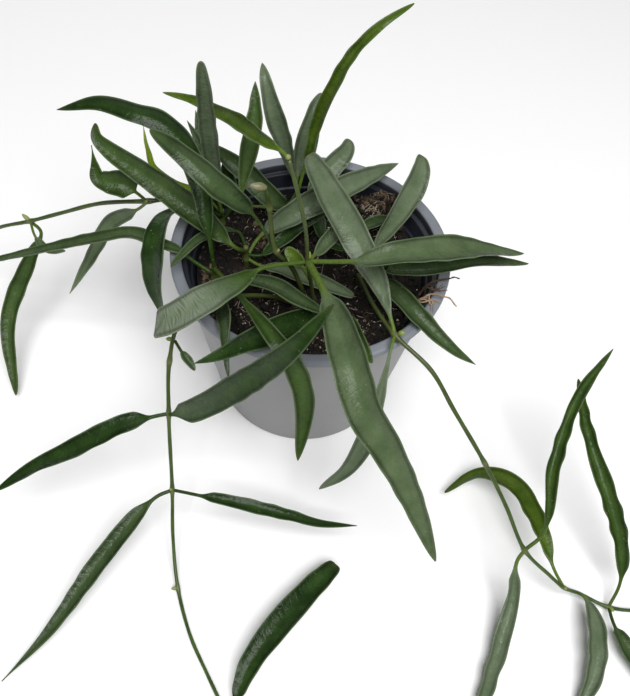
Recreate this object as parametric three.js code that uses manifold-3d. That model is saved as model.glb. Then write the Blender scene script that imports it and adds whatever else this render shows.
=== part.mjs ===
// Potted hoya: a tapered nursery pot filled with peat mix, twelve leafy stems that stand in
// plain holes in the mix, and two rootlets over the rim. Three of the stems are long vines:
// they arch over the rim, hang down and lie along the surface that the pot stands on.
// Millimetres, +Z up. The origin is the middle of the pot's base, on that surface.
import * as THREE from 'three';
import { mergeVertices } from 'three/addons/utils/BufferGeometryUtils.js';
import Module from 'manifold-3d';

const wasm = await Module();
wasm.setup();

// ---- pot ----
const POT_HEIGHT = 92;
const RIM_RADIUS = 60;
const RIM_WIDTH = 4.8;
const RIM_DEPTH = 3.6;
const FOOT_RADIUS = 42;
const SHOULDER_RADIUS = 56;
const WALL = 1.6;
const FLOOR_LIFT = 2.4;
const FOOT_WIDTH = 5;
const PAD_RADIUS = 15;
const LEDGE_DROP = 5;
const DRAIN_COUNT = 6;
const DRAIN_RADIUS = 3.4;
const DRAIN_RING = 26;
const POT_SEGMENTS = 40;
const SOIL_SEGMENTS = 28;

// ---- soil ----
const SOIL_TOP = 79;
const SOIL_RELIEF = 0.9;
const SOIL_RINGS = 7;
const HEAP_X = 33;
const HEAP_Y = 39;
const HEAP_HEIGHT = 10;
const HEAP_SPREAD = 14;
const GAP = 0.3;
const HOLE_SIDES = 10;
const HOLE_OVER_SOIL = 5;

// ---- stems and leaves ----
const PLANT_DEPTH = 60;
const ROOT_DEPTH = 70;
const STEM_SIDES = 6;
const STEM_STEP = 14;
const LINE_DIVISIONS = 200;
const THINNING = 0.25;
const THINNING_LENGTH = 250;
const NODE_SWELL = 1.4;
const NODE_REACH = 2.5;
const BLADE_THICKNESS = 1.1;
const EDGE_THICKNESS = 0.7;
const BLADE_STEP = 14;
const MOST_SPANS = 8;
const LEAST_SPANS = 4;
const TIP_HALF_WIDTH = 0.5;

const GREY_PLASTIC = { color: '#9b9da3', roughness: 0.5, metalness: 0 };
const PEAT = { color: '#2b221c', roughness: 0.98, metalness: 0 };
const GREEN = { color: '#35492f', roughness: 0.42, metalness: 0 };
const ROOT_BROWN = { color: '#3a2a22', roughness: 0.9, metalness: 0 };
const ROOT_TAN = { color: '#8c6f52', roughness: 0.9, metalness: 0 };

// Directions that the upper side of a blade may turn to.
const UP = [0, 0, 1];
const FRONT = [0, -1, 0.7];
const FRONT_LEFT = [-0.6, -0.8, 0.7];
const FRONT_RIGHT = [0.6, -0.8, 0.7];

// Outlines of blades: the fullness of the base, the fullness of the tip (smaller is fuller), and
// where the widest place is (larger is nearer to the tip).
const STRAP = [0.8, 0.5, 0.75];
const BLUNT = [0.8, 0.33, 0.85];
const PADDLE = [0.5, 0.28, 1.35];
const SPEAR = [0.7, 0.8, 0.62];
const FULL_BASE = [0.55, 0.6, 0.58];
const LONG_NECK = [0.95, 0.6, 0.66];
const LATE = [0.9, 0.65, 1.4];
const WAND = [0.9, 0.8, 1.1];
const HANGING = [0.7, 0.6, 1];
const HOOKED = [0.6, 1.6, 0.45];
const BLUNT_BASE = [0.33, 0.6, 0.6];
const TAILED = [0.7, 1.1, 0.6];
const SQUARE = [0.4, 0.2, 1.2];
const TONGUE = [0.75, 0.28, 1.15];
const EVEN = [0.7, 0.5, 0.95];
const POINTED = [0.8, 0.72, 0.75];

// A leaf: width, fold of each half out of flat in degrees, radius of the leaf stalk, direction
// of the upper side, outline, then the middle line from the stem's node through the end of the
// leaf stalk to the tip.
const leaf = (width, fold, stalk, face, outline, ...line) => ({ width, fold, stalk, face, outline, line });

// A leafy stem: name, radius, line from where it leaves the soil, the places in that line that
// are nodes, and its leaves.
const stem = (name, radius, line, nodes, leaves) => ({ name, radius, line, nodes, leaves });

const LEAFY_STEMS = [
  stem('stem_central', 0.85, [[3, -22, 81], [1, -25, 97], [-1, -29, 115], [-3, -28, 133],
    [-10, -20, 156]],
    [2, 4], [
      leaf(14.8, 26, 0.9, UP, POINTED, [-1, -29, 115], [14, -32, 120], [24, -33, 123], [36, -31, 125],
        [50, -25, 122], [68, -16, 115], [86, -9, 108]),
      leaf(14, 12, 0.8, UP, PADDLE, [-1, -29, 115], [-18, -37, 118], [-25, -43, 117], [-33, -49, 116],
        [-41, -55, 114], [-48, -58, 111], [-53, -58, 107], [-56, -55, 101]),
      leaf(14.5, 28, 1.5, FRONT, LONG_NECK, [-1, -29, 115], [5, -45, 119], [11, -62, 121],
        [16, -79, 121], [22, -92, 112], [31, -99, 101], [42, -109, 84], [54, -123, 62]),
      leaf(7, 20, 0.8, FRONT, STRAP, [-1, -29, 115], [1, -25, 114], [5, -15, 112], [9, -5, 108],
        [13, 5, 103]),
      leaf(6, 15, 0.8, FRONT, BLUNT, [1, -25, 99], [-3, -22, 104], [-7, -20, 108], [-10, -18, 110]),
      leaf(7, 30, 0.7, FRONT, LONG_NECK, [-10, -20, 156], [-12, -18, 157], [-20, -11, 157],
        [-29, 3.4, 151.7], [-41.6, 18.3, 145.4], [-50, 23.5, 145], [-63, 28, 144]),
    ]),
  stem('stem_cut_off', 1, [[-2, -17, 81], [-3, -19, 88], [-8, -18, 100], [-14, -20, 110],
    [-17, -16, 129], [-18, -18, 138], [-19, -19, 142]],
    [3, 4], [
      leaf(10.8, 30, 0.65, FRONT, STRAP, [-14, -20, 110], [-23, -13, 121], [-38, -13, 137.5],
        [-51, -7, 145], [-63, 1, 147]),
      leaf(8, 25, 0.55, FRONT, WAND, [-17, -16, 129], [-29.5, -2, 118], [-29, 3, 124], [-27, 9, 135],
        [-25.5, 15, 145], [-26, 23, 156]),
    ]),
  stem('vine_left', 0.92, [[-6, -22, 81], [-15, -26, 89], [-27, -35, 98.5], [-36, -40, 101],
    [-49, -46, 93], [-53, -55, 79], [-53, -68, 60], [-51, -88, 31], [-50, -102, 14], [-46, -120, 3],
    [-38, -139, 2], [-30, -152, 2], [-18, -170, 3], [-4, -188, 2]],
    [3, 5, 6, 7, 9, 12], [
      leaf(12.5, 24, 0.8, FRONT, BLUNT_BASE, [-53, -68, 60], [-52, -69, 61], [-37, -69, 72],
        [-19, -69, 93], [-3, -71, 118], [9, -63, 132]),
      leaf(11, 28, 0.8, UP, FULL_BASE, [-53, -68, 60], [-59, -70, 60], [-69, -74, 59], [-82, -80, 54],
        [-96, -85, 48], [-110, -89, 40], [-123, -96, 34]),
      leaf(9.4, 28, 0.8, UP, TAILED, [-51, -88, 31], [-58, -92, 30], [-78, -118, 18], [-94, -143, 8],
        [-109, -162, 3]),
      leaf(7, 30, 0.7, UP, SPEAR, [-51, -88, 31], [-40, -90, 32], [-24, -92, 31], [-3, -94, 27],
        [13, -94, 21], [29, -92, 17]),
      leaf(11.5, 22, 0.8, UP, SQUARE, [-18, -170, 3], [-17, -166, 4], [-12, -151, 9], [-3, -137, 11],
        [6, -125, 11], [21, -107, 9]),
      leaf(11, 18, 0.8, UP, STRAP, [-18, -170, 3], [-26, -175, 5], [-44, -186, 6], [-66, -194, 3]),
      leaf(4, 30, 0.6, UP, STRAP, [-51, -50, 86], [-48, -54, 85], [-42, -60, 81]),
    ]),
  stem('vine_right', 1, [[21, -3, 81], [23, -14, 87], [27, -30, 93], [35, -46, 95.5], [50, -57, 89],
    [61, -66, 76], [76, -80, 60], [87, -91, 46], [98, -103, 30], [111, -108, 18], [119, -111, 12],
    [128, -111, 6], [141, -115, 3], [156, -115, 2], [172, -110, 2], [184, -104, 2]],
    [3, 6, 8, 10, 12, 14], [
      leaf(12.5, 14, 0.8, FRONT, TONGUE, [35, -46, 95.5], [33.5, -42, 98], [28.5, -31, 105],
        [23, -22, 109], [17, -14, 114.5], [9, -2, 119.5], [2, 11, 122], [-4, 23, 123]),
      leaf(8.5, 22, 0.7, FRONT, LATE, [35, -46, 95.5], [34, -50, 95.5], [32.5, -58, 88], [30, -68, 75],
        [28, -73, 63], [22, -80, 48], [11, -85, 36]),
      leaf(9, 48, 0.8, FRONT, POINTED, [98, -103, 30], [105, -97, 36], [105, -77, 53], [115, -50, 66],
        [132, -28, 74]),
      leaf(7.6, 24, 0.8, UP, STRAP, [98, -103, 30], [96, -106, 24], [96, -118, 13], [91, -135, 6],
        [83, -156, 4], [75, -181, 3]),
      leaf(9.5, 18, 0.7, UP, EVEN, [119, -111, 12], [114, -105, 17], [109, -89, 21], [100, -68, 19],
        [86, -60, 12], [71, -67, 5]),
      leaf(9, 25, 0.8, UP, BLUNT, [128, -111, 6], [129, -113, 8], [131, -120, 9], [131, -131, 9],
        [129, -143, 7], [122, -157, 3]),
      leaf(8.5, 32, 0.7, FRONT, STRAP, [141, -115, 3], [145, -107, 9], [144, -99, 18], [140, -87, 28],
        [133, -71, 38], [127, -52, 45], [125, -28, 50]),
      leaf(8, 25, 0.7, UP, STRAP, [141, -115, 3], [141, -124, 6], [146, -136, 6], [154, -150, 3]),
      leaf(10, 22, 0.8, UP, STRAP, [172, -110, 2], [176, -118, 5], [186, -134, 6], [192, -152, 3]),
      leaf(10, 22, 0.8, UP, STRAP, [172, -110, 2], [178, -102, 6], [190, -88, 9], [200, -70, 6]),
    ]),
  stem('vine_upper_left', 1.05, [[-44, 8, 81], [-50, 13, 95], [-61, 17, 97.5], [-72, 15, 97.5],
    [-96, 22, 87], [-117, 26, 75], [-134, 28, 66], [-152, 32, 56], [-166, 38, 42], [-178, 46, 28],
    [-190, 55, 14], [-201, 64, 5], [-213, 74, 2], [-226, 83, 2], [-238, 88, 2]],
    [3, 6, 10, 13], [
      leaf(12.5, 28, 0.7, FRONT, HOOKED, [-72, 14, 98], [-76, 13, 104], [-81, 14, 107.5],
        [-87, 14, 108], [-91.5, 15, 109], [-93, 18, 113], [-94.5, 23, 119]),
      leaf(8, 25, 0.7, FRONT, SPEAR, [-72, 14, 98], [-78, 17, 90], [-92, 20, 78], [-102, 13, 62],
        [-113, 2, 46]),
      leaf(9, 25, 0.8, FRONT, STRAP, [-134, 28, 66], [-130, 27, 60], [-135, 19, 50], [-145, -3, 28],
        [-140, -31, 4]),
      leaf(5, 30, 0.6, UP, STRAP, [-134, 28, 66], [-132, 24, 60], [-125, 18, 57], [-117, 19, 57]),
      leaf(11, 22, 0.8, UP, STRAP, [-190, 55, 14], [-200, 49, 16], [-220, 40, 11], [-242, 30, 3]),
      leaf(11, 22, 0.8, UP, STRAP, [-190, 55, 14], [-192, 66, 17], [-199, 90, 13], [-208, 112, 3]),
      leaf(8, 25, 0.7, UP, STRAP, [-226, 83, 2], [-231, 77, 5], [-240, 66, 5], [-246, 54, 3]),
    ]),
  stem('crown_stem_left', 1.3, [[-40, -14, 81], [-40, -14, 84], [-40, -14, 91]],
    [1, 2], [
      leaf(10.5, 28, 0.9, FRONT, POINTED, [-40, -14, 90], [-41, -13, 103], [-43, -7, 113],
        [-45.8, 2, 122], [-52, 12.2, 129.8], [-61.5, 17, 138], [-72, 18, 141], [-87, 22, 141],
        [-106, 25, 134]),
      leaf(9, 22, 1, FRONT, LATE, [-40, -14, 90], [-31, -32, 101.5], [-16, -55, 108.5], [-7, -65, 106],
        [-1, -69, 95], [2, -74, 82], [1, -86, 62]),
      leaf(9, 22, 0.8, UP, BLUNT, [-40, -14, 84], [-29, -18, 89], [-22, -22, 93], [-13, -27, 96],
        [-3, -36, 99.5], [6, -41, 100]),
      leaf(8.5, 22, 0.8, FRONT, STRAP, [-40, -14, 84], [-33, -22, 85], [-33, -35, 91], [-30, -49, 99],
        [-29, -60, 97], [-28, -66, 88]),
      leaf(8, 25, 0.8, UP, STRAP, [-40, -14, 86], [-48, -12, 90.5], [-55, -10, 94.9], [-63, -7.3, 95.2],
        [-76, -1, 93], [-92, 0, 87], [-111, 1, 79], [-152, 3, 62]),
    ]),
  stem('crown_stem_back_left', 1.3, [[-41, 19, 81], [-41, 19, 84], [-41, 20, 91]],
    [1, 2], [
      leaf(8.3, 25, 0.9, FRONT, BLUNT, [-41, 19, 90], [-42, 19, 99], [-42.5, 19, 111],
        [-43.4, 14.8, 135.1], [-42.9, 8.4, 158.5], [-42.5, 3, 176]),
      leaf(6, 25, 0.7, FRONT, SPEAR, [-41, 19, 90], [-44, 22, 98], [-48, 29, 108], [-52, 35, 116],
        [-57, 40, 122]),
      leaf(6, 25, 0.7, FRONT, SPEAR, [-41, 19, 86], [-46, 29, 96], [-50, 39, 106], [-53, 44, 113],
        [-55, 50, 120]),
      leaf(4, 30, 0.6, FRONT, SPEAR, [-41, 19, 90], [-50, 24, 96], [-62, 27, 98], [-71, 30, 103],
        [-74, 33, 112], [-76, 39, 118]),
      leaf(12.5, 20, 0.9, FRONT_LEFT, HANGING, [-41, 19, 88], [-52, 11, 100.6], [-59.4, 5.4, 101.6],
        [-63.2, -4.2, 102.4], [-64.3, -13.3, 97.6], [-64.5, -18.5, 85], [-63, -23, 68]),
      leaf(7, 20, 0.8, FRONT, STRAP, [-41, 19, 84], [-37, 22, 92], [-38, 28, 99], [-42, 37, 103]),
    ]),
  stem('crown_stem_middle', 1.3, [[-28, -1, 81], [-28, -1, 84], [-28, -1, 91]],
    [1, 2], [
      leaf(12.6, 28, 0.9, FRONT, STRAP, [-28, -1, 88], [-32, -10, 100], [-45, -1, 106], [-60, 7, 112],
        [-75, 14, 117], [-86, 19, 121], [-91, 22, 124], [-92, 26, 128]),
      leaf(6, 25, 0.7, UP, STRAP, [-28, -1, 90], [-32, 7, 91], [-37.5, 4, 94], [-47, -8.5, 99.5],
        [-55.5, -24.5, 101]),
      leaf(9.5, 22, 0.7, UP, BLUNT, [-28, -1, 84], [-22, -4, 83], [-13, -6, 83.5], [-2, -11, 85],
        [9, -16, 86], [19, -21, 87]),
      leaf(12.3, 24, 0.8, FRONT, POINTED, [-28, -1, 84], [-23, 7, 89], [-6, 13, 102], [15, 29, 104],
        [37, 52, 98]),
      leaf(7, 20, 0.7, UP, STRAP, [-28, -1, 86], [-22, -1, 86], [-15, 6, 86], [-5, 14, 90],
        [6, 22, 92]),
    ]),
  stem('crown_stem_back', 1.3, [[-8, 38, 81], [-8, 38, 84], [-8, 39, 91]],
    [1, 2], [
      leaf(6.2, 30, 0.8, FRONT, STRAP, [-8, 38, 90], [-6, 41, 100], [-4, 39, 112], [-2, 40, 125],
        [3, 37, 145], [10, 36, 163], [19, 36, 175], [31, 44, 180]),
      leaf(11, 25, 0.8, FRONT, STRAP, [-8, 38, 90], [-12, 27, 91], [-17, 24, 95], [-24, 25, 101],
        [-31, 29, 106], [-39, 32, 110], [-46, 37, 112]),
      leaf(10.3, 20, 0.8, FRONT, STRAP, [-8, 38, 86], [-9, 42, 93], [-7, 46, 101], [-5, 51, 112],
        [-3, 57, 120], [-1, 64, 124]),
      leaf(11, 20, 0.8, FRONT, BLUNT, [-8, 38, 84], [-4, 37, 87], [1, 41, 92], [7, 48, 97],
        [12, 54, 100], [14, 61, 102]),
      leaf(7, 20, 0.7, UP, STRAP, [-8, 38, 84], [-3, 32, 84.5], [2, 24, 84.5], [4, 12, 85.5]),
      leaf(8.8, 25, 0.7, FRONT, LATE, [-8, 38, 90], [-8, 32, 95], [-11, 31, 107], [-15, 28, 125],
        [-19.5, 27, 141], [-22.5, 29, 152], [-24.5, 35, 156]),
    ]),
  stem('crown_stem_back_right', 1.3, [[24, 6, 81], [24, 6, 84], [24, 6, 91]],
    [1, 2], [
      leaf(12, 20, 0.8, FRONT_RIGHT, PADDLE, [24, 6, 90], [26, 2, 92], [31, 7, 99], [37, 14, 108],
        [42, 23, 114], [44, 33, 119]),
      leaf(7.5, 20, 0.7, UP, STRAP, [24, 6, 84], [22, 18, 86], [30, 24, 87.5], [39, 24, 88]),
      leaf(5, 20, 0.7, UP, STRAP, [24, 6, 84], [14, 6, 86], [5, 5, 90]),
    ]),
  stem('crown_stem_right', 1.3, [[31, -3, 81], [31, -3, 84], [31, -4, 88]],
    [1], [
      leaf(10, 30, 0.8, UP, FULL_BASE, [31, -3, 84], [33, -9, 94], [36, -16, 100], [48, -19, 105],
        [69, -12, 104], [92, -3, 96]),
      leaf(9, 24, 0.8, FRONT_RIGHT, SPEAR, [31, -3, 84], [31, -13, 90], [35, -23, 95], [41, -33, 97],
        [48, -39, 94], [59, -45, 88], [70, -46, 80]),
    ]),
  stem('crown_stem_front', 1.3, [[11, -28, 81], [11, -28, 84], [11, -28, 88]],
    [1], [
      leaf(12.5, 24, 0.8, FRONT, SPEAR, [11, -28, 84], [5, -34, 87], [-3, -40, 92], [-14, -50, 97],
        [-24, -60, 101], [-32, -67, 102], [-39, -71, 102]),
      leaf(7, 25, 0.7, FRONT, STRAP, [11, -28, 84], [16, -36, 91], [21, -51, 98], [26, -62, 98]),
    ]),
];

const ROOTLETS = [
  { name: 'rim_rootlet_dark', look: ROOT_BROWN, radius: 0.6,
    line: [[45, -17, 81], [47, -17, 88], [50, -16, 93.7], [54, -15, 94.6], [59, -13, 94.4],
      [63, -11, 92.5]] },
  { name: 'rim_rootlet_tan', look: ROOT_TAN, radius: 0.6,
    line: [[42, -24, 81], [44, -24, 88], [47, -24, 93.5], [51, -23, 94.7], [57, -24, 94.5],
      [61, -26, 92]] },
];

function material(look) {
  return new THREE.MeshStandardMaterial(look);
}

function asSolid(geometry) {
  const bare = geometry.clone();
  bare.deleteAttribute('normal');
  bare.deleteAttribute('uv');
  const merged = mergeVertices(bare, 1e-4);
  const vertProperties = new Float32Array(merged.attributes.position.array);
  const triVerts = new Uint32Array(merged.index.array);
  return new wasm.Manifold(new wasm.Mesh({ numProp: 3, vertProperties, triVerts }));
}

function asGeometry(solid) {
  const mesh = solid.getMesh();
  const geometry = new THREE.BufferGeometry();
  geometry.setAttribute('position', new THREE.BufferAttribute(mesh.vertProperties, 3));
  geometry.setIndex(new THREE.BufferAttribute(mesh.triVerts, 1));
  return geometry;
}

function namedMesh(name, geometry, look) {
  geometry.computeVertexNormals();
  const mesh = new THREE.Mesh(geometry, material(look));
  mesh.name = name;
  return mesh;
}

const vector = (point) => new THREE.Vector3(...point);

// A closed solid through rings that all have the same number of points, with a flat cap at
// each end.
function loft(rings) {
  const count = rings[0].length;
  const last = (rings.length - 1) * count;
  const index = [];
  for (let ring = 0; ring < last; ring += count) {
    for (let j = 0; j < count; j += 1) {
      const a = ring + j;
      const b = ring + ((j + 1) % count);
      index.push(a, b, b + count, a, b + count, a + count);
    }
  }
  for (let j = 1; j + 1 < count; j += 1) {
    index.push(0, j + 1, j, last, last + j, last + j + 1);
  }
  const geometry = new THREE.BufferGeometry().setFromPoints(rings.flat());
  geometry.setIndex(index);
  return geometry;
}

// Where the middle line is at each station, with its direction, its normal and its side. The
// normal starts as the given direction at the station named first and is carried along both
// ways without turning about the line.
function framesAlong(curve, stations, first, face) {
  const frames = stations.map((u) => ({ at: curve.getPointAt(u), along: curve.getTangentAt(u) }));
  const carry = (frame, normal) => {
    frame.normal = normal.clone().addScaledVector(frame.along, -normal.dot(frame.along)).normalize();
    frame.side = frame.along.clone().cross(frame.normal);
  };
  carry(frames[first], face);
  for (let i = first + 1; i < frames.length; i += 1) {
    carry(frames[i], frames[i - 1].normal);
  }
  for (let i = first - 1; i >= 0; i -= 1) {
    carry(frames[i], frames[i + 1].normal);
  }
  return frames;
}

function roundRing(frame, radius, sides) {
  const ring = [];
  for (let j = 0; j < sides; j += 1) {
    const angle = Math.PI - ((j + 0.5) * 2 * Math.PI) / sides;
    ring.push(frame.at.clone()
      .addScaledVector(frame.side, radius * Math.cos(angle))
      .addScaledVector(frame.normal, radius * Math.sin(angle)));
  }
  return ring;
}

// One section of a blade: a gutter with four points above and the same four below. A point's
// height grows with the square of its distance from the middle line, to the fold's full slope.
const ACROSS = [-1, -0.36, 0.36, 1];
function bladeRing(frame, halfWidth, fold, thickness, edge) {
  const place = (across, half) => {
    const out = across * halfWidth * Math.cos(fold);
    const rise = across * across * halfWidth * Math.sin(fold);
    return frame.at.clone().addScaledVector(frame.side, out).addScaledVector(frame.normal, rise + half);
  };
  const half = (across) => (Math.abs(across) === 1 ? edge : thickness) / 2;
  const above = ACROSS.map((across) => place(across, half(across)));
  const below = ACROSS.map((across) => place(across, -half(across))).reverse();
  return [...above, ...below];
}

// Half the width of a blade as a share of its greatest half width, from base (0) to tip (1).
const bladeOutline = (s, [base, tip, swell]) => Math.sin(Math.PI * s ** swell) ** (base + (tip - base) * s);

function leafSolid({ width, fold, stalk, face, outline, line }) {
  const points = line.map(vector);
  const curve = new THREE.CatmullRomCurve3(points, false, 'centripetal');
  const length = curve.getLength();
  const foot = points[0].distanceTo(points[1]) / length;
  const wanted = Math.round((length * (1 - foot)) / BLADE_STEP);
  const spans = Math.min(MOST_SPANS, Math.max(LEAST_SPANS, wanted));
  const stations = [0, foot / 2];
  const shares = [0, 0];
  for (let i = 0; i <= spans; i += 1) {
    const share = 0.5 - 0.5 * Math.cos((Math.PI * i) / spans);
    shares.push(share);
    stations.push(foot + (1 - foot) * share);
  }
  const middle = 2 + Math.floor(spans / 2);
  const frames = framesAlong(curve, stations, middle, vector(face));
  const rings = frames.map((frame, i) => {
    if (i < 3) {
      return roundRing(frame, stalk, 2 * ACROSS.length);
    }
    const share = bladeOutline(Math.min(shares[i], 0.999), outline);
    const halfWidth = Math.max(TIP_HALF_WIDTH, (width / 2) * share);
    const ease = Math.min(1, halfWidth / (0.4 * width));
    const bend = THREE.MathUtils.degToRad(fold) * ease;
    const thickness = Math.max(EDGE_THICKNESS, BLADE_THICKNESS * ease);
    return bladeRing(frame, halfWidth, bend, thickness, EDGE_THICKNESS);
  });
  return asSolid(loft(rings));
}

// The stem: a straight peg down in the soil, then a tube along its line that thins slowly and is
// swollen at its nodes.
function stalkSolid({ radius, line, nodes }, depth) {
  const points = line.map(vector);
  const curve = new THREE.CatmullRomCurve3(points, false, 'centripetal');
  const table = curve.getLengths(LINE_DIVISIONS * (line.length - 1));
  const length = table[table.length - 1];
  const swellings = nodes.map((i) => table[LINE_DIVISIONS * i]);
  const steps = Math.ceil(length / STEM_STEP);
  const places = [];
  for (let i = 0; i <= steps; i += 1) {
    const place = (length * i) / steps;
    const isFree = swellings.every((swelling) => Math.abs(swelling - place) > 2 * NODE_REACH);
    if (isFree || i === 0) {
      places.push(place);
    }
  }
  swellings.forEach((swelling) => {
    [-NODE_REACH, 0, NODE_REACH].forEach((offset) => {
      const place = swelling + offset;
      if (place > 0.5 && place <= length) {
        places.push(place);
      }
    });
  });
  places.sort((a, b) => a - b);
  const start = new THREE.Vector3(0, -1, 0);
  const stations = places.map((place) => Math.min(1, place / length));
  const frames = framesAlong(curve, stations, 0, start);
  const rings = frames.map((frame, i) => {
    const isNode = swellings.some((swelling) => Math.abs(swelling - places[i]) < 0.01);
    const thinned = radius * (1 - THINNING * Math.min(1, places[i] / THINNING_LENGTH));
    return roundRing(frame, isNode ? thinned * NODE_SWELL : thinned, STEM_SIDES);
  });
  const upright = (z) => ({
    at: new THREE.Vector3(line[0][0], line[0][1], z),
    side: new THREE.Vector3(1, 0, 0),
    normal: start,
  });
  rings.unshift(roundRing(upright(line[0][2] - 1), radius, STEM_SIDES));
  rings.unshift(roundRing(upright(depth), radius, STEM_SIDES));
  return asSolid(loft(rings));
}

function leafyStem(description) {
  const solid = description.leaves.reduce(
    (whole, blade) => whole.add(leafSolid(blade)),
    stalkSolid(description, PLANT_DEPTH),
  );
  return namedMesh(description.name, asGeometry(solid), GREEN);
}

// Radius of the pot's inner wall at a height.
const LEDGE_Z = POT_HEIGHT - LEDGE_DROP;
const INNER_FOOT = FOOT_RADIUS - 1.5 * WALL;
const INNER_SHOULDER = SHOULDER_RADIUS - 1.9 * WALL;
const FLOOR_Z = FLOOR_LIFT + WALL;
const innerRadius = (z) => THREE.MathUtils.mapLinear(z, FLOOR_Z, LEDGE_Z, INNER_FOOT, INNER_SHOULDER);

function ringAngles(count, place) {
  return Array.from({ length: count }, (_, i) => place((2 * Math.PI * i) / count));
}

function pot() {
  const footInside = FOOT_RADIUS - FOOT_WIDTH;
  const lipInside = RIM_RADIUS - RIM_WIDTH;
  const profile = [
    [0, 0],
    [PAD_RADIUS, 0],
    [PAD_RADIUS + 2, FLOOR_LIFT],
    [footInside - 2, FLOOR_LIFT],
    [footInside, 0],
    [FOOT_RADIUS - 0.8, 0],
    [FOOT_RADIUS, 1],
    [SHOULDER_RADIUS, POT_HEIGHT - RIM_DEPTH],
    [RIM_RADIUS - 0.6, POT_HEIGHT - RIM_DEPTH],
    [RIM_RADIUS, POT_HEIGHT - RIM_DEPTH + 0.6],
    [RIM_RADIUS, POT_HEIGHT - 0.6],
    [RIM_RADIUS - 0.6, POT_HEIGHT],
    [lipInside + 0.3, POT_HEIGHT],
    [lipInside, POT_HEIGHT - 0.4],
    [lipInside - 0.2, LEDGE_Z + 0.5],
    [INNER_SHOULDER, LEDGE_Z],
    [INNER_FOOT, FLOOR_Z],
    [PAD_RADIUS + 1, FLOOR_Z],
    [PAD_RADIUS - 0.6, WALL],
    [0, WALL],
  ].map(([r, z]) => new THREE.Vector2(r, z));
  const body = new THREE.LatheGeometry(profile, POT_SEGMENTS).rotateX(Math.PI / 2);
  const drain = new THREE.CylinderGeometry(DRAIN_RADIUS, DRAIN_RADIUS, 4 * WALL, 12).rotateX(Math.PI / 2);
  let solid = asSolid(body);
  ringAngles(DRAIN_COUNT, (angle) => {
    const hole = drain.clone();
    hole.translate(DRAIN_RING * Math.cos(angle), DRAIN_RING * Math.sin(angle), FLOOR_LIFT + WALL / 2);
    solid = solid.subtract(asSolid(hole));
  });
  return namedMesh('pot', asGeometry(solid), GREY_PLASTIC);
}

// Height of the soil's surface: level, with low lumps, and heaped against the wall at the back.
function soilHeight(x, y) {
  const lumps = Math.sin(x * 0.31 + 1.2) * Math.cos(y * 0.27) + 0.6 * Math.sin(x * 0.17 - y * 0.36);
  const away = Math.hypot(x - HEAP_X, y - HEAP_Y) / HEAP_SPREAD;
  return SOIL_TOP - SOIL_RELIEF + 0.4 * SOIL_RELIEF * lumps + HEAP_HEIGHT * Math.exp(-(away ** 2));
}

function soil() {
  const rings = [];
  const ringAt = (radius, height) => {
    rings.push(ringAngles(SOIL_SEGMENTS, (angle) => {
      const x = radius * Math.cos(angle);
      const y = radius * Math.sin(angle);
      return new THREE.Vector3(x, y, height(x, y));
    }));
  };
  const rim = innerRadius(SOIL_TOP - 2 * SOIL_RELIEF) - GAP;
  ringAt(1, () => FLOOR_Z + GAP);
  ringAt(INNER_FOOT - GAP, () => FLOOR_Z + GAP);
  for (let i = SOIL_RINGS; i > 0; i -= 1) {
    ringAt((rim * i) / SOIL_RINGS, soilHeight);
  }
  let solid = asSolid(loft(rings));
  const bore = (x, y, radius, depth) => {
    const height = SOIL_TOP + HOLE_OVER_SOIL - depth;
    const wide = radius + GAP;
    const hole = new THREE.CylinderGeometry(wide, wide, height, HOLE_SIDES).rotateX(Math.PI / 2);
    hole.translate(x, y, depth - GAP + height / 2);
    solid = solid.subtract(asSolid(hole));
  };
  LEAFY_STEMS.forEach(({ line, radius }) => bore(line[0][0], line[0][1], radius, PLANT_DEPTH));
  ROOTLETS.forEach(({ line, radius }) => bore(line[0][0], line[0][1], radius, ROOT_DEPTH));
  return namedMesh('soil', asGeometry(solid), PEAT);
}

function rootlet({ name, look, radius, line }) {
  const solid = stalkSolid({ radius, line, nodes: [] }, ROOT_DEPTH);
  return namedMesh(name, asGeometry(solid), look);
}

const group = new THREE.Group();
group.add(pot(), soil());
LEAFY_STEMS.forEach((description) => group.add(leafyStem(description)));
ROOTLETS.forEach((description) => group.add(rootlet(description)));

export default group;
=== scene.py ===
"""Potted hoya: a grey nursery pot of peat mix, twelve leafy stems, three of them long vines that
arch over the rim and lie on the surface below, and a few rootlets over the rim.
Metres, +Z up. The origin is the middle of the pot's base."""

import bpy
import numpy as np
from mathutils import Matrix


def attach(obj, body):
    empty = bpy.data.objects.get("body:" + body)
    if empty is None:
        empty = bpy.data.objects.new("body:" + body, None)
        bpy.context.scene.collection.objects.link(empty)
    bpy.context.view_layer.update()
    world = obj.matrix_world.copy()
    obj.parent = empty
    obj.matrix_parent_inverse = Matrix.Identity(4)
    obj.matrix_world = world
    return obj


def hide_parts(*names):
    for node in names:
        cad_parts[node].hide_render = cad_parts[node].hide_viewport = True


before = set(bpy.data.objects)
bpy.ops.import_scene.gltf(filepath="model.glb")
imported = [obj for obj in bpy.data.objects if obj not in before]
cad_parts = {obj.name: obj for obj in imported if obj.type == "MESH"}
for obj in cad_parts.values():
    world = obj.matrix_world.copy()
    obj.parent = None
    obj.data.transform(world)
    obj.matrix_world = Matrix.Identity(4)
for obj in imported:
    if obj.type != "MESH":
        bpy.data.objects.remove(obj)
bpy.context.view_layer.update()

MM = 0.001

# ---- camera: the photograph's viewpoint, in pixels, mm and degrees ----
IMAGE_HEIGHT = 696
FOCAL_PIXELS = 770
SENSOR = 36
EYE = (0, -229, 333)
TURN_LEFT_RIGHT = 1.4
LOOK_DOWN = 53.8
LEAN = 5.5
NEAR_LIMIT = 10

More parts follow.
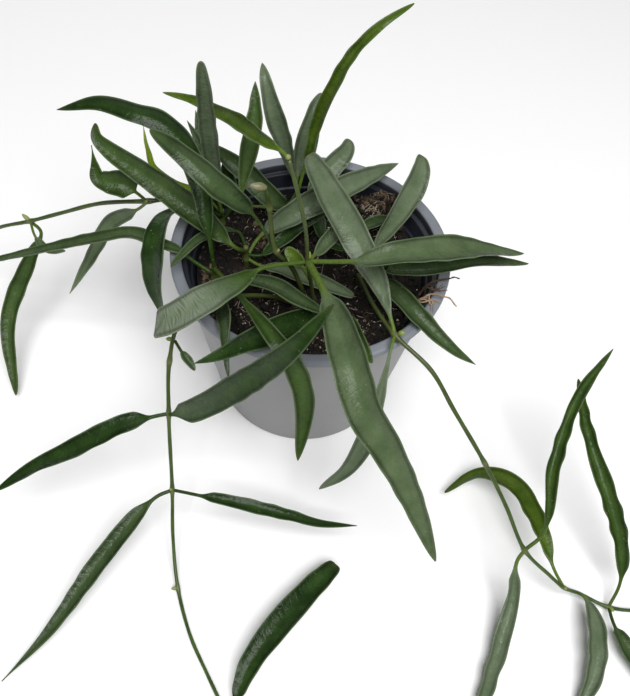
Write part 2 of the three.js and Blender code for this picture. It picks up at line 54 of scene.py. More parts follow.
# ---- floor and light, in metres and watts ----
FLOOR_HALF = 4
AIR_STRENGTH = 0.17
LIT_POINT = (0, 0, 0.08)
SOFTBOX_SIZE = (1.0, 0.8)
SOFTBOXES = [("softbox_above_front", (0.2, -0.7, 1.4), 29.5),
             ("softbox_behind", (-0.6, 1.3, 1.1), 5)]

# ---- pot, in mm ----
POT_HEIGHT = 92
RIM_RADIUS = 60
RIM_WIDTH = 4.8
RIM_DEPTH = 3.6
FOOT_RADIUS = 42
SHOULDER_RADIUS = 56
WALL = 1.6
FLOOR_LIFT = 2.4
FOOT_WIDTH = 5
PAD_RADIUS = 15
LEDGE_DROP = 5
CORNER_RADIUS = 0.5
DRAIN_COUNT = 6
DRAIN_RADIUS = 3.4
DRAIN_RING = 26
LEDGE_Z = POT_HEIGHT - LEDGE_DROP
INNER_FOOT = FOOT_RADIUS - 1.5 * WALL
INNER_SHOULDER = SHOULDER_RADIUS - 1.9 * WALL
FLOOR_Z = FLOOR_LIFT + WALL
LEDGE_REACH = RIM_RADIUS - RIM_WIDTH - 2.6
CORNER_STEPS = 5
AROUND_POT = 192
AROUND_DRAIN = 32

# ---- soil, in mm ----
# SOIL_REACH is the radius of its top, which ends SOIL_EDGE inside the side of the plug.
SOIL_TOP = 78.4
SOIL_GAP = 0.3
SOIL_EDGE = 1.7
SOIL_SHARE = (SOIL_TOP - FLOOR_Z) / (LEDGE_Z - FLOOR_Z)
SOIL_REACH = INNER_FOOT + (INNER_SHOULDER - INNER_FOOT) * SOIL_SHARE - SOIL_GAP - SOIL_EDGE
SOIL_RINGS = 90
AROUND_SOIL = 240
# Bits may lie on the pot's ledge where the heap has the share HEAP_CREST of its height.
HEAP = (33, 39)
HEAP_HEIGHT = 10
HEAP_SPREAD = 14
HEAP_CREST = 0.82
# Size, pitch and turn of each sine product in the lumpy top.
LUMPS = [(0.5, 0.12, 0.3), (0.4, 0.27, 1.1), (0.4, 0.55, 2.3), (0.3, 1.1, 0.8), (0.2, 2.0, 1.7)]

# ---- loose bits on the soil, in mm ----
BITS_SEED = 7
CRUMBS = 1500
CLODS = 420
FIBRES = 170
GRAINS = 110
BARK = 220
HEAP_BITS = 700
BARK_HEAPS = [(-46, -8), (-42, -14), (30, 40), (25, 44), (33, 34), (-18, 20), (-22, 14), (44, 10)]
GRIT_HEAPS = [(-25, -31), (-20, -24), (26, -29), (20, -36), (6, -41), (-16, -14), (10, -37)]
BITS_SPREAD = 3.5
STONE_RINGS = 4
STONE_SIDES = 7
FIBRE_CLEAR = 7
FIBRE_SPREAD = 8
FIBRE_STATIONS = 8
FIBRE_SIDES = 5

# ---- all lines: steps in each span, and the least height of stems and leaves in mm ----
SPAN_STEPS = 40
LOWEST = 0.25

# ---- stems, in mm ----
# PEG_FOOT is the height of a stem's lower end in the soil. Its bark fades over BARK_LENGTH.
PEG_FOOT = 66
STEM_SIDES = 16
STEM_STEP = 1.3
NODE_SWELL = 0.42
NODE_REACH = 2.1
THINNING = 0.25
THINNING_LENGTH = 250
END_THINNING = 0.4
END_LENGTH = 8
BARK_LENGTH = 220
BUD_STATIONS = 12
BUD_SIDES = 12

# ---- rootlets, in mm, and the stations that their side hairs start from ----
ROOT_RADIUS = 0.6
ROOT_STATIONS = 60
ROOT_SIDES = 8
HAIRS_FROM = (17, 20, 24, 28, 33)
HAIR_STEPS = 8
HAIR_SIDES = 6

# ---- leaves, in mm ----
# FRILL is a share of the half width. A leaf's seed is its place on its stem plus LEAF_SEEDS times
# the stem's number.
BLADE_THICKNESS = 0.95
EDGE_THICKNESS = 0.5
RIB_WIDTH = 1.1
RIB_GROOVE = 0.08
RIB_RIDGE = 0.35
RIM_RIDGE = 0.1
FRILL = 0.022
VEIN_SPACING = 3.4
LEAF_SEEDS = 100
STALK_STATIONS = 9
BLADE_STATIONS = 110
HALF_ACROSS = np.array([0, 0.06, 0.13, 0.22, 0.34, 0.47, 0.6, 0.72, 0.82, 0.89, 0.94, 0.975, 0.993, 1])

# Directions that the upper side of a blade may turn to.
UP = (0, 0, 1)
FRONT = (0, -1, 0.7)
FRONT_LEFT = (-0.6, -0.8, 0.7)
FRONT_RIGHT = (0.6, -0.8, 0.7)

# Outlines of blades: the fullness of the base, the fullness of the tip (smaller is fuller), and
# where the widest place is (larger is nearer to the tip).
STRAP = (0.8, 0.5, 0.75)
BLUNT = (0.8, 0.33, 0.85)
PADDLE = (0.5, 0.28, 1.35)
SPEAR = (0.7, 0.8, 0.62)
FULL_BASE = (0.55, 0.6, 0.58)
LONG_NECK = (0.95, 0.6, 0.66)
LATE = (0.9, 0.65, 1.4)
WAND = (0.9, 0.8, 1.1)
HANGING = (0.7, 0.6, 1)
HOOKED = (0.6, 1.6, 0.45)
BLUNT_BASE = (0.33, 0.6, 0.6)
TAILED = (0.7, 1.1, 0.6)
SQUARE = (0.4, 0.2, 1.2)
TONGUE = (0.75, 0.28, 1.15)
EVEN = (0.7, 0.5, 0.95)
POINTED = (0.8, 0.72, 0.75)

# What a blade looks like: how far from old deep green (0) to young yellow-green (1), how much grey
# bloom it has, partly real silvery bloom and partly painted sheen, the height of its cross wrinkles in mm,
# and whether the bloom and the wrinkles keep to the tip (1), to the base (-1) or to neither (0).
DEEP = (0.0, 0.0, 0.02, 0)
DULL = (0.12, 0.2, 0.03, 0)
GLOSSY = (0.2, 0.0, 0.02, 0)
MIDDLE = (0.22, 0.1, 0.04, 0)
FRESH = (0.25, 0.5, 0.05, 0)
LIVELY = (0.7, 0.0, 0.02, 0)
YOUNG = (0.85, 0.0, 0.02, 0)
PALE = (0.3, 1.0, 0.03, 0)
PALE_BACK = (0.3, 0.85, 0.03, 0)
TIP_BLOOM_AND_SHEEN = (0.2, 1.5, 0.3, 1)
BASE_BLOOM_AND_SHEEN = (0.0, 0.4, 0.14, -1)


def leaf(width, fold, stalk, face, outline, *line, looks=DULL, waver=0.15):
    """A leaf: width, fold of each half out of flat in degrees, radius of the leaf stalk, direction
    of the upper side, outline, the middle line from the stem's node through the end of the leaf
    stalk to the tip, looks, and how far its margins waver in and out."""
    return dict(width=width, fold=fold, stalk=stalk, face=face, outline=outline, line=line,
                looks=looks, waver=waver)


def stem(name, radius, line, nodes, leaves, buds=()):
    """A leafy stem: its line from where it leaves the soil, the places in that line that are
    nodes, its leaves, and its buds as (point, direction, length, radius, how dry)."""
    return dict(name=name, radius=radius, line=line, nodes=nodes, leaves=leaves, buds=buds)


LEAFY_STEMS = [
    stem("stem_central", 0.85, [(3, -22, 81), (1, -25, 97), (-1, -29, 115), (-3, -28, 133),
         (-10, -20, 156)],
         [2, 4], [
             leaf(14.8, 26, 0.9, UP, POINTED, (-1, -29, 115), (14, -32, 120), (24, -33, 123),
                  (36, -31, 125), (50, -25, 122), (68, -16, 115), (86, -9, 108), looks=FRESH),
             leaf(14, 12, 0.8, UP, PADDLE, (-1, -29, 115), (-18, -37, 118), (-25, -43, 117),
                  (-33, -49, 116), (-41, -55, 114), (-48, -58, 111), (-53, -58, 107), (-56, -55, 101),
                  looks=TIP_BLOOM_AND_SHEEN),
             leaf(14.5, 28, 1.5, FRONT, LONG_NECK, (-1, -29, 115), (5, -45, 119), (11, -62, 121),
                  (16, -79, 121), (22, -92, 112), (31, -99, 101), (42, -109, 84), (54, -123, 62),
                  looks=FRESH),
             leaf(7, 20, 0.8, FRONT, STRAP, (-1, -29, 115), (1, -25, 114), (5, -15, 112), (9, -5, 108),
                  (13, 5, 103), looks=FRESH),
             leaf(6, 15, 0.8, FRONT, BLUNT, (1, -25, 99), (-3, -22, 104), (-7, -20, 108),
                  (-10, -18, 110), looks=LIVELY),
             leaf(7, 30, 0.7, FRONT, LONG_NECK, (-10, -20, 156), (-12, -18, 157), (-20, -11, 157),
                  (-29, 3.4, 151.7), (-41.6, 18.3, 145.4), (-50, 23.5, 145), (-63, 28, 144),
                  looks=LIVELY),
         ], [((-1, -29, 116), (0.1, 0.2, 1), 4, 1.1, 0),
             ((-10, -20, 156.5), (-0.4, -0.3, 1), 2.2, 1.1, 0.3)]),
    stem("stem_cut_off", 1, [(-2, -17, 81), (-3, -19, 88), (-8, -18, 100), (-14, -20, 110),
         (-17, -16, 129), (-18, -18, 138), (-19, -19, 142)],
         [3, 4], [
             leaf(10.8, 30, 0.65, FRONT, STRAP, (-14, -20, 110), (-23, -13, 121), (-38, -13, 137.5),
                  (-51, -7, 145), (-63, 1, 147)),
             leaf(8, 25, 0.55, FRONT, WAND, (-17, -16, 129), (-29.5, -2, 118), (-29, 3, 124),
                  (-27, 9, 135), (-25.5, 15, 145), (-26, 23, 156), looks=MIDDLE),
         ], [((-14, -20, 110), (0.9, -0.2, 0.5), 2, 0.9, 0.8),
             ((-17.6, -18.6, 141), (-1, -0.25, 0.35), 6.8, 1.7, 1)]),
    stem("vine_left", 0.92, [(-6, -22, 81), (-15, -26, 89), (-27, -35, 98.5), (-36, -40, 101),
         (-49, -46, 93), (-53, -55, 79), (-53, -68, 60), (-51, -88, 31), (-50, -102, 14),
         (-46, -120, 3), (-38, -139, 2), (-30, -152, 2), (-18, -170, 3), (-4, -188, 2)],
         [3, 5, 6, 7, 9, 12], [
             leaf(12.5, 24, 0.8, FRONT, BLUNT_BASE, (-53, -68, 60), (-52, -69, 61), (-37, -69, 72),
                  (-19, -69, 93), (-3, -71, 118), (9, -63, 132), looks=BASE_BLOOM_AND_SHEEN),
             leaf(11, 28, 0.8, UP, FULL_BASE, (-53, -68, 60), (-59, -70, 60), (-69, -74, 59),
                  (-82, -80, 54), (-96, -85, 48), (-110, -89, 40), (-123, -96, 34), looks=DEEP),
             leaf(9.4, 28, 0.8, UP, TAILED, (-51, -88, 31), (-58, -92, 30), (-78, -118, 18),
                  (-94, -143, 8), (-109, -162, 3)),
             leaf(7, 30, 0.7, UP, SPEAR, (-51, -88, 31), (-40, -90, 32), (-24, -92, 31), (-3, -94, 27),
                  (13, -94, 21), (29, -92, 17), looks=DEEP),
             leaf(11.5, 22, 0.8, UP, SQUARE, (-18, -170, 3), (-17, -166, 4), (-12, -151, 9),
                  (-3, -137, 11), (6, -125, 11), (21, -107, 9), looks=DEEP),
             leaf(11, 18, 0.8, UP, STRAP, (-18, -170, 3), (-26, -175, 5), (-44, -186, 6),
                  (-66, -194, 3)),
             leaf(4, 30, 0.6, UP, STRAP, (-51, -50, 86), (-48, -54, 85), (-42, -60, 81)),
         ], [((-36, -40, 101), (-0.3, 0.5, 1), 3, 1.2, 0.2),
             ((-52, -50, 87), (-1, -0.2, 0.2), 2.5, 1, 0), ((-51, -88, 31), (-0.5, -0.1, 1), 2, 0.8, 0),
             ((-46, -120, 3), (-1, -0.4, 0.4), 3, 0.9, 0.2)]),
    stem("vine_right", 1, [(21, -3, 81), (23, -14, 87), (27, -30, 93), (35, -46, 95.5), (50, -57, 89),
         (61, -66, 76), (76, -80, 60), (87, -91, 46), (98, -103, 30), (111, -108, 18), (119, -111, 12),
         (128, -111, 6), (141, -115, 3), (156, -115, 2), (172, -110, 2), (184, -104, 2)],
         [3, 6, 8, 10, 12, 14], [
             leaf(12.5, 14, 0.8, FRONT, TONGUE, (35, -46, 95.5), (33.5, -42, 98), (28.5, -31, 105),
                  (23, -22, 109), (17, -14, 114.5), (9, -2, 119.5), (2, 11, 122), (-4, 23, 123),
                  looks=PALE),
             leaf(8.5, 22, 0.7, FRONT, LATE, (35, -46, 95.5), (34, -50, 95.5), (32.5, -58, 88),
                  (30, -68, 75), (28, -73, 63), (22, -80, 48), (11, -85, 36), looks=PALE),
             leaf(9, 48, 0.8, FRONT, POINTED, (98, -103, 30), (105, -97, 36), (105, -77, 53),
                  (115, -50, 66), (132, -28, 74), looks=GLOSSY, waver=0.3),
             leaf(7.6, 24, 0.8, UP, STRAP, (98, -103, 30), (96, -106, 24), (96, -118, 13),
                  (91, -135, 6), (83, -156, 4), (75, -181, 3), looks=PALE, waver=0.3),
             leaf(9.5, 18, 0.7, UP, EVEN, (119, -111, 12), (114, -105, 17), (109, -89, 21),
                  (100, -68, 19), (86, -60, 12), (71, -67, 5), looks=LIVELY, waver=0.3),
             leaf(9, 25, 0.8, UP, BLUNT, (128, -111, 6), (129, -113, 8), (131, -120, 9), (131, -131, 9),
                  (129, -143, 7), (122, -157, 3), looks=PALE, waver=0.3),
             leaf(8.5, 32, 0.7, FRONT, STRAP, (141, -115, 3), (145, -107, 9), (144, -99, 18),
                  (140, -87, 28), (133, -71, 38), (127, -52, 45), (125, -28, 50), looks=GLOSSY, waver=0.35),
             leaf(8, 25, 0.7, UP, STRAP, (141, -115, 3), (141, -124, 6), (146, -136, 6),
                  (154, -150, 3)),
             leaf(10, 22, 0.8, UP, STRAP, (172, -110, 2), (176, -118, 5), (186, -134, 6),
                  (192, -152, 3)),
             leaf(10, 22, 0.8, UP, STRAP, (172, -110, 2), (178, -102, 6), (190, -88, 9), (200, -70, 6)),
         ], [((36, -46, 96), (1, 0.1, 0.6), 3.2, 1.2, 0.1), ((98, -103, 30), (-1, 0.1, 0.3), 2, 0.8, 0),
             ((119, -111, 12), (0.4, -0.6, 0.8), 2, 0.8, 0),
             ((141, -115, 3), (0.6, -0.8, 0.5), 3, 1, 0)]),
    stem("vine_upper_left", 1.05, [(-44, 8, 81), (-50, 13, 95), (-61, 17, 97.5), (-72, 15, 97.5),
         (-96, 22, 87), (-117, 26, 75), (-134, 28, 66), (-152, 32, 56), (-166, 38, 42), (-178, 46, 28),
         (-190, 55, 14), (-201, 64, 5), (-213, 74, 2), (-226, 83, 2), (-238, 88, 2)],
         [3, 6, 10, 13], [
             leaf(12.5, 28, 0.7, FRONT, HOOKED, (-72, 14, 98), (-76, 13, 104), (-81, 14, 107.5),
                  (-87, 14, 108), (-91.5, 15, 109), (-93, 18, 113), (-94.5, 23, 119), looks=GLOSSY),
             leaf(8, 25, 0.7, FRONT, SPEAR, (-72, 14, 98), (-78, 17, 90), (-92, 20, 78), (-102, 13, 62),
                  (-113, 2, 46), looks=PALE_BACK),
             leaf(9, 25, 0.8, FRONT, STRAP, (-134, 28, 66), (-130, 27, 60), (-135, 19, 50),
                  (-145, -3, 28), (-140, -31, 4), looks=MIDDLE),
             leaf(5, 30, 0.6, UP, STRAP, (-134, 28, 66), (-132, 24, 60), (-125, 18, 57), (-117, 19, 57),
                  looks=FRESH),
             leaf(11, 22, 0.8, UP, STRAP, (-190, 55, 14), (-200, 49, 16), (-220, 40, 11),
                  (-242, 30, 3)),
             leaf(11, 22, 0.8, UP, STRAP, (-190, 55, 14), (-192, 66, 17), (-199, 90, 13),
                  (-208, 112, 3)),
             leaf(8, 25, 0.7, UP, STRAP, (-226, 83, 2), (-231, 77, 5), (-240, 66, 5), (-246, 54, 3)),
         ], [((-134, 28, 66), (-1, 0.5, 0.6), 5, 1.1, 0.2),
             ((-72, 14, 98), (-0.4, -0.4, 1), 2, 0.8, 0)]),
    stem("crown_stem_left", 1.3, [(-40, -14, 81), (-40, -14, 84), (-40, -14, 91)],
         [1, 2], [
             leaf(10.5, 28, 0.9, FRONT, POINTED, (-40, -14, 90), (-41, -13, 103), (-43, -7, 113),
                  (-45.8, 2, 122), (-52, 12.2, 129.8), (-61.5, 17, 138), (-72, 18, 141), (-87, 22, 141),
                  (-106, 25, 134), looks=DEEP),
             leaf(9, 22, 1, FRONT, LATE, (-40, -14, 90), (-31, -32, 101.5), (-16, -55, 108.5),
                  (-7, -65, 106), (-1, -69, 95), (2, -74, 82), (1, -86, 62), looks=GLOSSY),
             leaf(9, 22, 0.8, UP, BLUNT, (-40, -14, 84), (-29, -18, 89), (-22, -22, 93), (-13, -27, 96),
                  (-3, -36, 99.5), (6, -41, 100)),
             leaf(8.5, 22, 0.8, FRONT, STRAP, (-40, -14, 84), (-33, -22, 85), (-33, -35, 91),
                  (-30, -49, 99), (-29, -60, 97), (-28, -66, 88)),
             leaf(8, 25, 0.8, UP, STRAP, (-40, -14, 86), (-48, -12, 90.5), (-55, -10, 94.9),
                  (-63, -7.3, 95.2), (-76, -1, 93), (-92, 0, 87), (-111, 1, 79), (-152, 3, 62)),
         ]),
    stem("crown_stem_back_left", 1.3, [(-41, 19, 81), (-41, 19, 84), (-41, 20, 91)],
         [1, 2], [
             leaf(8.3, 25, 0.9, FRONT, BLUNT, (-41, 19, 90), (-42, 19, 99), (-42.5, 19, 111),
                  (-43.4, 14.8, 135.1), (-42.9, 8.4, 158.5), (-42.5, 3, 176), looks=PALE_BACK),
             leaf(6, 25, 0.7, FRONT, SPEAR, (-41, 19, 90), (-44, 22, 98), (-48, 29, 108),
                  (-52, 35, 116), (-57, 40, 122)),
             leaf(6, 25, 0.7, FRONT, SPEAR, (-41, 19, 86), (-46, 29, 96), (-50, 39, 106),
                  (-53, 44, 113), (-55, 50, 120)),
             leaf(4, 30, 0.6, FRONT, SPEAR, (-41, 19, 90), (-50, 24, 96), (-62, 27, 98), (-71, 30, 103),
                  (-74, 33, 112), (-76, 39, 118), looks=YOUNG),
             leaf(12.5, 20, 0.9, FRONT_LEFT, HANGING, (-41, 19, 88), (-52, 11, 100.6),
                  (-59.4, 5.4, 101.6), (-63.2, -4.2, 102.4), (-64.3, -13.3, 97.6), (-64.5, -18.5, 85),
                  (-63, -23, 68), looks=DEEP),
             leaf(7, 20, 0.8, FRONT, STRAP, (-41, 19, 84), (-37, 22, 92), (-38, 28, 99), (-42, 37, 103),
                  looks=DEEP),
         ]),
    stem("crown_stem_middle", 1.3, [(-28, -1, 81), (-28, -1, 84), (-28, -1, 91)],
         [1, 2], [
             leaf(12.6, 28, 0.9, FRONT, STRAP, (-28, -1, 88), (-32, -10, 100), (-45, -1, 106),
                  (-60, 7, 112), (-75, 14, 117), (-86, 19, 121), (-91, 22, 124), (-92, 26, 128),
                  looks=MIDDLE),
             leaf(6, 25, 0.7, UP, STRAP, (-28, -1, 90), (-32, 7, 91), (-37.5, 4, 94), (-47, -8.5, 99.5),
                  (-55.5, -24.5, 101)),
             leaf(9.5, 22, 0.7, UP, BLUNT, (-28, -1, 84), (-22, -4, 83), (-13, -6, 83.5), (-2, -11, 85),
                  (9, -16, 86), (19, -21, 87), looks=PALE_BACK),
             leaf(12.3, 24, 0.8, FRONT, POINTED, (-28, -1, 84), (-23, 7, 89), (-6, 13, 102),
                  (15, 29, 104), (37, 52, 98), looks=PALE),
             leaf(7, 20, 0.7, UP, STRAP, (-28, -1, 86), (-22, -1, 86), (-15, 6, 86), (-5, 14, 90),
                  (6, 22, 92), looks=DEEP),
         ]),
    stem("crown_stem_back", 1.3, [(-8, 38, 81), (-8, 38, 84), (-8, 39, 91)],
         [1, 2], [
             leaf(6.2, 30, 0.8, FRONT, STRAP, (-8, 38, 90), (-6, 41, 100), (-4, 39, 112), (-2, 40, 125),
                  (3, 37, 145), (10, 36, 163), (19, 36, 175), (31, 44, 180), looks=LIVELY),
             leaf(11, 25, 0.8, FRONT, STRAP, (-8, 38, 90), (-12, 27, 91), (-17, 24, 95), (-24, 25, 101),
                  (-31, 29, 106), (-39, 32, 110), (-46, 37, 112)),
             leaf(10.3, 20, 0.8, FRONT, STRAP, (-8, 38, 86), (-9, 42, 93), (-7, 46, 101), (-5, 51, 112),
                  (-3, 57, 120), (-1, 64, 124), looks=PALE),
             leaf(11, 20, 0.8, FRONT, BLUNT, (-8, 38, 84), (-4, 37, 87), (1, 41, 92), (7, 48, 97),
                  (12, 54, 100), (14, 61, 102), looks=PALE),
             leaf(7, 20, 0.7, UP, STRAP, (-8, 38, 84), (-3, 32, 84.5), (2, 24, 84.5), (4, 12, 85.5),
                  looks=DEEP),
             leaf(8.8, 25, 0.7, FRONT, LATE, (-8, 38, 90), (-8, 32, 95), (-11, 31, 107), (-15, 28, 125),
                  (-19.5, 27, 141), (-22.5, 29, 152), (-24.5, 35, 156), looks=PALE),
         ]),
    stem("crown_stem_back_right", 1.3, [(24, 6, 81), (24, 6, 84), (24, 6, 91)],
         [1, 2], [
             leaf(12, 20, 0.8, FRONT_RIGHT, PADDLE, (24, 6, 90), (26, 2, 92), (31, 7, 99),
                  (37, 14, 108), (42, 23, 114), (44, 33, 119), looks=PALE_BACK),
             leaf(7.5, 20, 0.7, UP, STRAP, (24, 6, 84), (22, 18, 86), (30, 24, 87.5), (39, 24, 88)),
             leaf(5, 20, 0.7, UP, STRAP, (24, 6, 84), (14, 6, 86), (5, 5, 90), looks=DEEP),
         ]),
    stem("crown_stem_right", 1.3, [(31, -3, 81), (31, -3, 84), (31, -4, 88)],
         [1], [
             leaf(10, 30, 0.8, UP, FULL_BASE, (31, -3, 84), (33, -9, 94), (36, -16, 100),
                  (48, -19, 105), (69, -12, 104), (92, -3, 96)),
             leaf(9, 24, 0.8, FRONT_RIGHT, SPEAR, (31, -3, 84), (31, -13, 90), (35, -23, 95),
                  (41, -33, 97), (48, -39, 94), (59, -45, 88), (70, -46, 80)),
         ]),
    stem("crown_stem_front", 1.3, [(11, -28, 81), (11, -28, 84), (11, -28, 88)],
         [1], [
             leaf(12.5, 24, 0.8, FRONT, SPEAR, (11, -28, 84), (5, -34, 87), (-3, -40, 92),
                  (-14, -50, 97), (-24, -60, 101), (-32, -67, 102), (-39, -71, 102), looks=DEEP),
             leaf(7, 25, 0.7, FRONT, STRAP, (11, -28, 84), (16, -36, 91), (21, -51, 98), (26, -62, 98),
                  looks=MIDDLE),
         ]),
]

# ---- colours: the darker and the lighter, which blotches or grain mix ----
OLD_GREEN = (0.003, 0.013, 0.001, 1), (0.022, 0.052, 0.009, 1)
YOUNG_GREEN = (0.052, 0.105, 0.005, 1), (0.125, 0.19, 0.012, 1)
BACK_GREEN = (0.04, 0.07, 0.024, 1), (0.075, 0.12, 0.045, 1)
OLD_LEAF_STALK = (0.012, 0.03, 0.004, 1), (0.03, 0.06, 0.012, 1)
YOUNG_LEAF_STALK = (0.055, 0.1, 0.012, 1), (0.125, 0.18, 0.035, 1)
STEM_GREEN = (0.018, 0.045, 0.004, 1), (0.052, 0.095, 0.013, 1)
STEM_BARK = (0.03, 0.032, 0.01, 1), (0.09, 0.08, 0.03, 1)
BUD_GREEN = (0.16, 0.22, 0.04, 1), (0.26, 0.32, 0.08, 1)
BUD_WITHERED = (0.09, 0.1, 0.035, 1), (0.3, 0.27, 0.17, 1)
POT_OUTSIDE = (0.24, 0.24, 0.243, 1), (0.275, 0.275, 0.28, 1)
POT_LIP = (0.155, 0.17, 0.19, 1), (0.195, 0.21, 0.235, 1)
POT_LINING = (0.008, 0.01, 0.016, 1), (0.02, 0.024, 0.034, 1)
PEAT = (0.0015, 0.0012, 0.001, 1), (0.012, 0.008, 0.005, 1)
FLOOR_WHITE = (0.9, 0.9, 0.9, 1), (0.92, 0.92, 0.92, 1)

# Name, name of the material, its two colours, roughness and scale of the grain.
LOOSE_BITS = [
    ("bark_crumbs", "bark_crumb", (0.0008, 0.0006, 0.0005, 1), (0.023, 0.016, 0.01, 1), 0.85, 300.0),
    ("bark_chips", "bark_chip", (0.003, 0.002, 0.0015, 1), (0.2, 0.135, 0.085, 1), 0.85, 300.0),
    ("coir_fibres", "coir_fibre", (0.06, 0.043, 0.028, 1), (0.42, 0.34, 0.25, 1), 0.8, 400.0),
    ("pale_grit", "pale_grit", (0.2, 0.17, 0.13, 1), (0.7, 0.66, 0.58, 1), 0.8, 600.0),
]

# Name, colour slot, its two colours and the line.
ROOTLETS = [
    ("rim_rootlet_dark", "rootlet_brown", (0.02, 0.012, 0.008, 1), (0.1, 0.06, 0.035, 1),
     [(45, -17, 81), (47, -17, 88), (50, -16, 93.7), (54, -15, 94.6), (59, -13, 94.4),
      (63, -11, 92.5)]),
    ("rim_rootlet_tan", "rootlet_tan", (0.12, 0.07, 0.04, 1), (0.4, 0.28, 0.18, 1),
     [(42, -24, 81), (44, -24, 88), (47, -24, 93.5), (51, -23, 94.7), (57, -24, 94.5), (61, -26, 92)]),
]


# ---- lines ----

def smooth_line(points, per_span=SPAN_STEPS):
    """Smooth line through the points: in each span a cubic whose end slopes weigh the
    neighbouring spans by the square root of their lengths."""
    points = np.asarray(points, float)
    before = 2 * points[0] - points[1]
    after = 2 * points[-1] - points[-2]
    p = np.vstack([before, points, after])
    gap = np.linalg.norm(np.diff(p, axis=0), axis=1, keepdims=True) ** 0.5
    p0, p1, p2, p3 = p[:-3], p[1:-2], p[2:-1], p[3:]
    d0, d1, d2 = gap[:-2], gap[1:-1], gap[2:]
    leave = ((p1 - p0) / d0 - (p2 - p0) / (d0 + d1) + (p2 - p1) / d1) * d1
    reach = ((p2 - p1) / d1 - (p3 - p1) / (d1 + d2) + (p3 - p2) / d2) * d1
    square = 3 * (p2 - p1) - 2 * leave - reach
    cube = 2 * (p1 - p2) + leave + reach
    u = np.linspace(0, 1, per_span, endpoint=False)[None, :, None]
    spans = p1[:, None] + leave[:, None] * u + square[:, None] * u ** 2 + cube[:, None] * u ** 3
    return np.vstack([spans.reshape(-1, 3), points[-1:]])


def distances(line):
    """How far along the line each of its points is."""
    steps = np.linalg.norm(np.diff(line, axis=0), axis=1)
    return np.concatenate([[0], np.cumsum(steps)])


def on_line(line, places):
    """Point and direction of the line at each distance, by straight interpolation."""
    far = distances(line)
    at = np.stack([np.interp(places, far, line[:, k]) for k in range(3)], 1)
    slope = np.gradient(line, far, axis=0)
    along = np.stack([np.interp(places, far, slope[:, k]) for k in range(3)], 1)
    return at, along / np.linalg.norm(along, axis=1, keepdims=True)


def carried_frames(along, face, first=0):
    """Normal and side at each station. The normal is the face direction at the first station,
    and each next one is its neighbour's normal less that normal's part along the line."""
    normal = np.zeros_like(along)

    def square_off(direction, station):
        rest = direction - along[station] * (direction @ along[station])
        normal[station] = rest / np.linalg.norm(rest)

    square_off(np.asarray(face, float), first)
    for station in range(first + 1, len(along)):
        square_off(normal[station - 1], station)
    for station in range(first - 1, -1, -1):
        square_off(normal[station + 1], station)
    return normal, np.cross(along, normal)


def eased(value, low, high):
    """0 below low, 1 above high, and the cubic 3u^2 - 2u^3 between."""
    u = np.clip((value - low) / (high - low), 0, 1)
    return u * u * (3 - 2 * u)


def bell(value, middle, width):
    """exp(-u^2), with u the distance from the middle over the width."""
    return np.exp(-((value - middle) / width) ** 2)


def even_turns(count):
    """Angles that share a full turn evenly."""
    return 2 * np.pi * np.arange(count) / count


# ---- meshes ----

def put_in_scene(name, data):
    made = bpy.data.objects.new(name, data)
    bpy.context.scene.collection.objects.link(made)
    return made


class Shape:
    """Closed surfaces gathered into one mesh, with number fields that its materials read."""

    def __init__(self):
        self.points = []
        self.quads = []
        self.triangles = []
        self.fields = {}
        self.count = 0

    def add_loft(self, rings, **fields):
        """Rings of equal size joined by quads, with a fan to the middle of each end ring."""
        rows, columns = rings.shape[:2]
        i, j = np.meshgrid(np.arange(rows - 1), np.arange(columns), indexing="ij")
        a, b = i * columns + j, i * columns + (j + 1) % columns
        quads = np.stack([a, b, b + columns, a + columns], -1).reshape(-1, 4)
        ring = np.arange(columns)
        after = (ring + 1) % columns
        last = (rows - 1) * columns
        start = np.stack([after, ring, np.full(columns, rows * columns)], 1)
        end = np.stack([last + ring, last + after, np.full(columns, rows * columns + 1)], 1)
        self.points.append(np.vstack([rings.reshape(-1, 3), rings[0].mean(0), rings[-1].mean(0)]))
        self.quads.append(quads + self.count)
        self.triangles.append(np.vstack([start, end]) + self.count)
        self.count += rows * columns + 2
        for name, values in fields.items():
            grid = np.broadcast_to(values, (rows, columns))
            whole = np.concatenate([grid.ravel(), [grid[0].mean()], [grid[-1].mean()]])
            self.fields.setdefault(name, []).append(whole.astype(np.float32))

    def piece(self, name, material, slot, *nodes):
        """The mesh as a smooth-shaded piece that rides on the root body."""
        points = np.vstack(self.points)
        quads = np.vstack(self.quads)
        triangles = np.vstack(self.triangles)
        mesh = bpy.data.meshes.new(name)
        mesh.from_pydata(points.tolist(), [], quads.tolist() + triangles.tolist())
        mesh.shade_smooth()
        for label, parts in self.fields.items():
            attribute = mesh.attributes.new(label, "FLOAT", "POINT")
            attribute.data.foreach_set("value", np.concatenate(parts))
        mesh.materials.append(material)
        made = put_in_scene(name, mesh)
        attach(made, "root")
        if nodes:
            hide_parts(*nodes)
        return made


def tube(at, along, face, radius, sides):
    """A circle round each station, square to the line, with each station's radius."""
    normal, side = carried_frames(along, face)
    turn = np.pi - even_turns(sides)[:, None]
    circles = np.cos(turn) * side[:, None] + np.sin(turn) * normal[:, None]
    return at[:, None] + radius[:, None, None] * circles


def above_surface(rings):
    """The rings, with every point at least LOWEST above the surface that the pot stands on."""
    rings[:, :, 2] = np.maximum(rings[:, :, 2], LOWEST * MM)
    return rings


# ---- leaves ----

# Places across a blade's section, round its upper side and back round its under side, and 1 for
# the upper side, -1 for the under side and 0 for the two margins.
ACROSS_UPPER = np.concatenate([-HALF_ACROSS[:0:-1], HALF_ACROSS])
ACROSS = np.concatenate([ACROSS_UPPER, ACROSS_UPPER[-2:0:-1]])
SIDE_UP = np.concatenate([np.ones(len(ACROSS_UPPER)), -np.ones(len(ACROSS_UPPER) - 2)])
SIDE_UP[[0, len(ACROSS_UPPER) - 1]] = 0


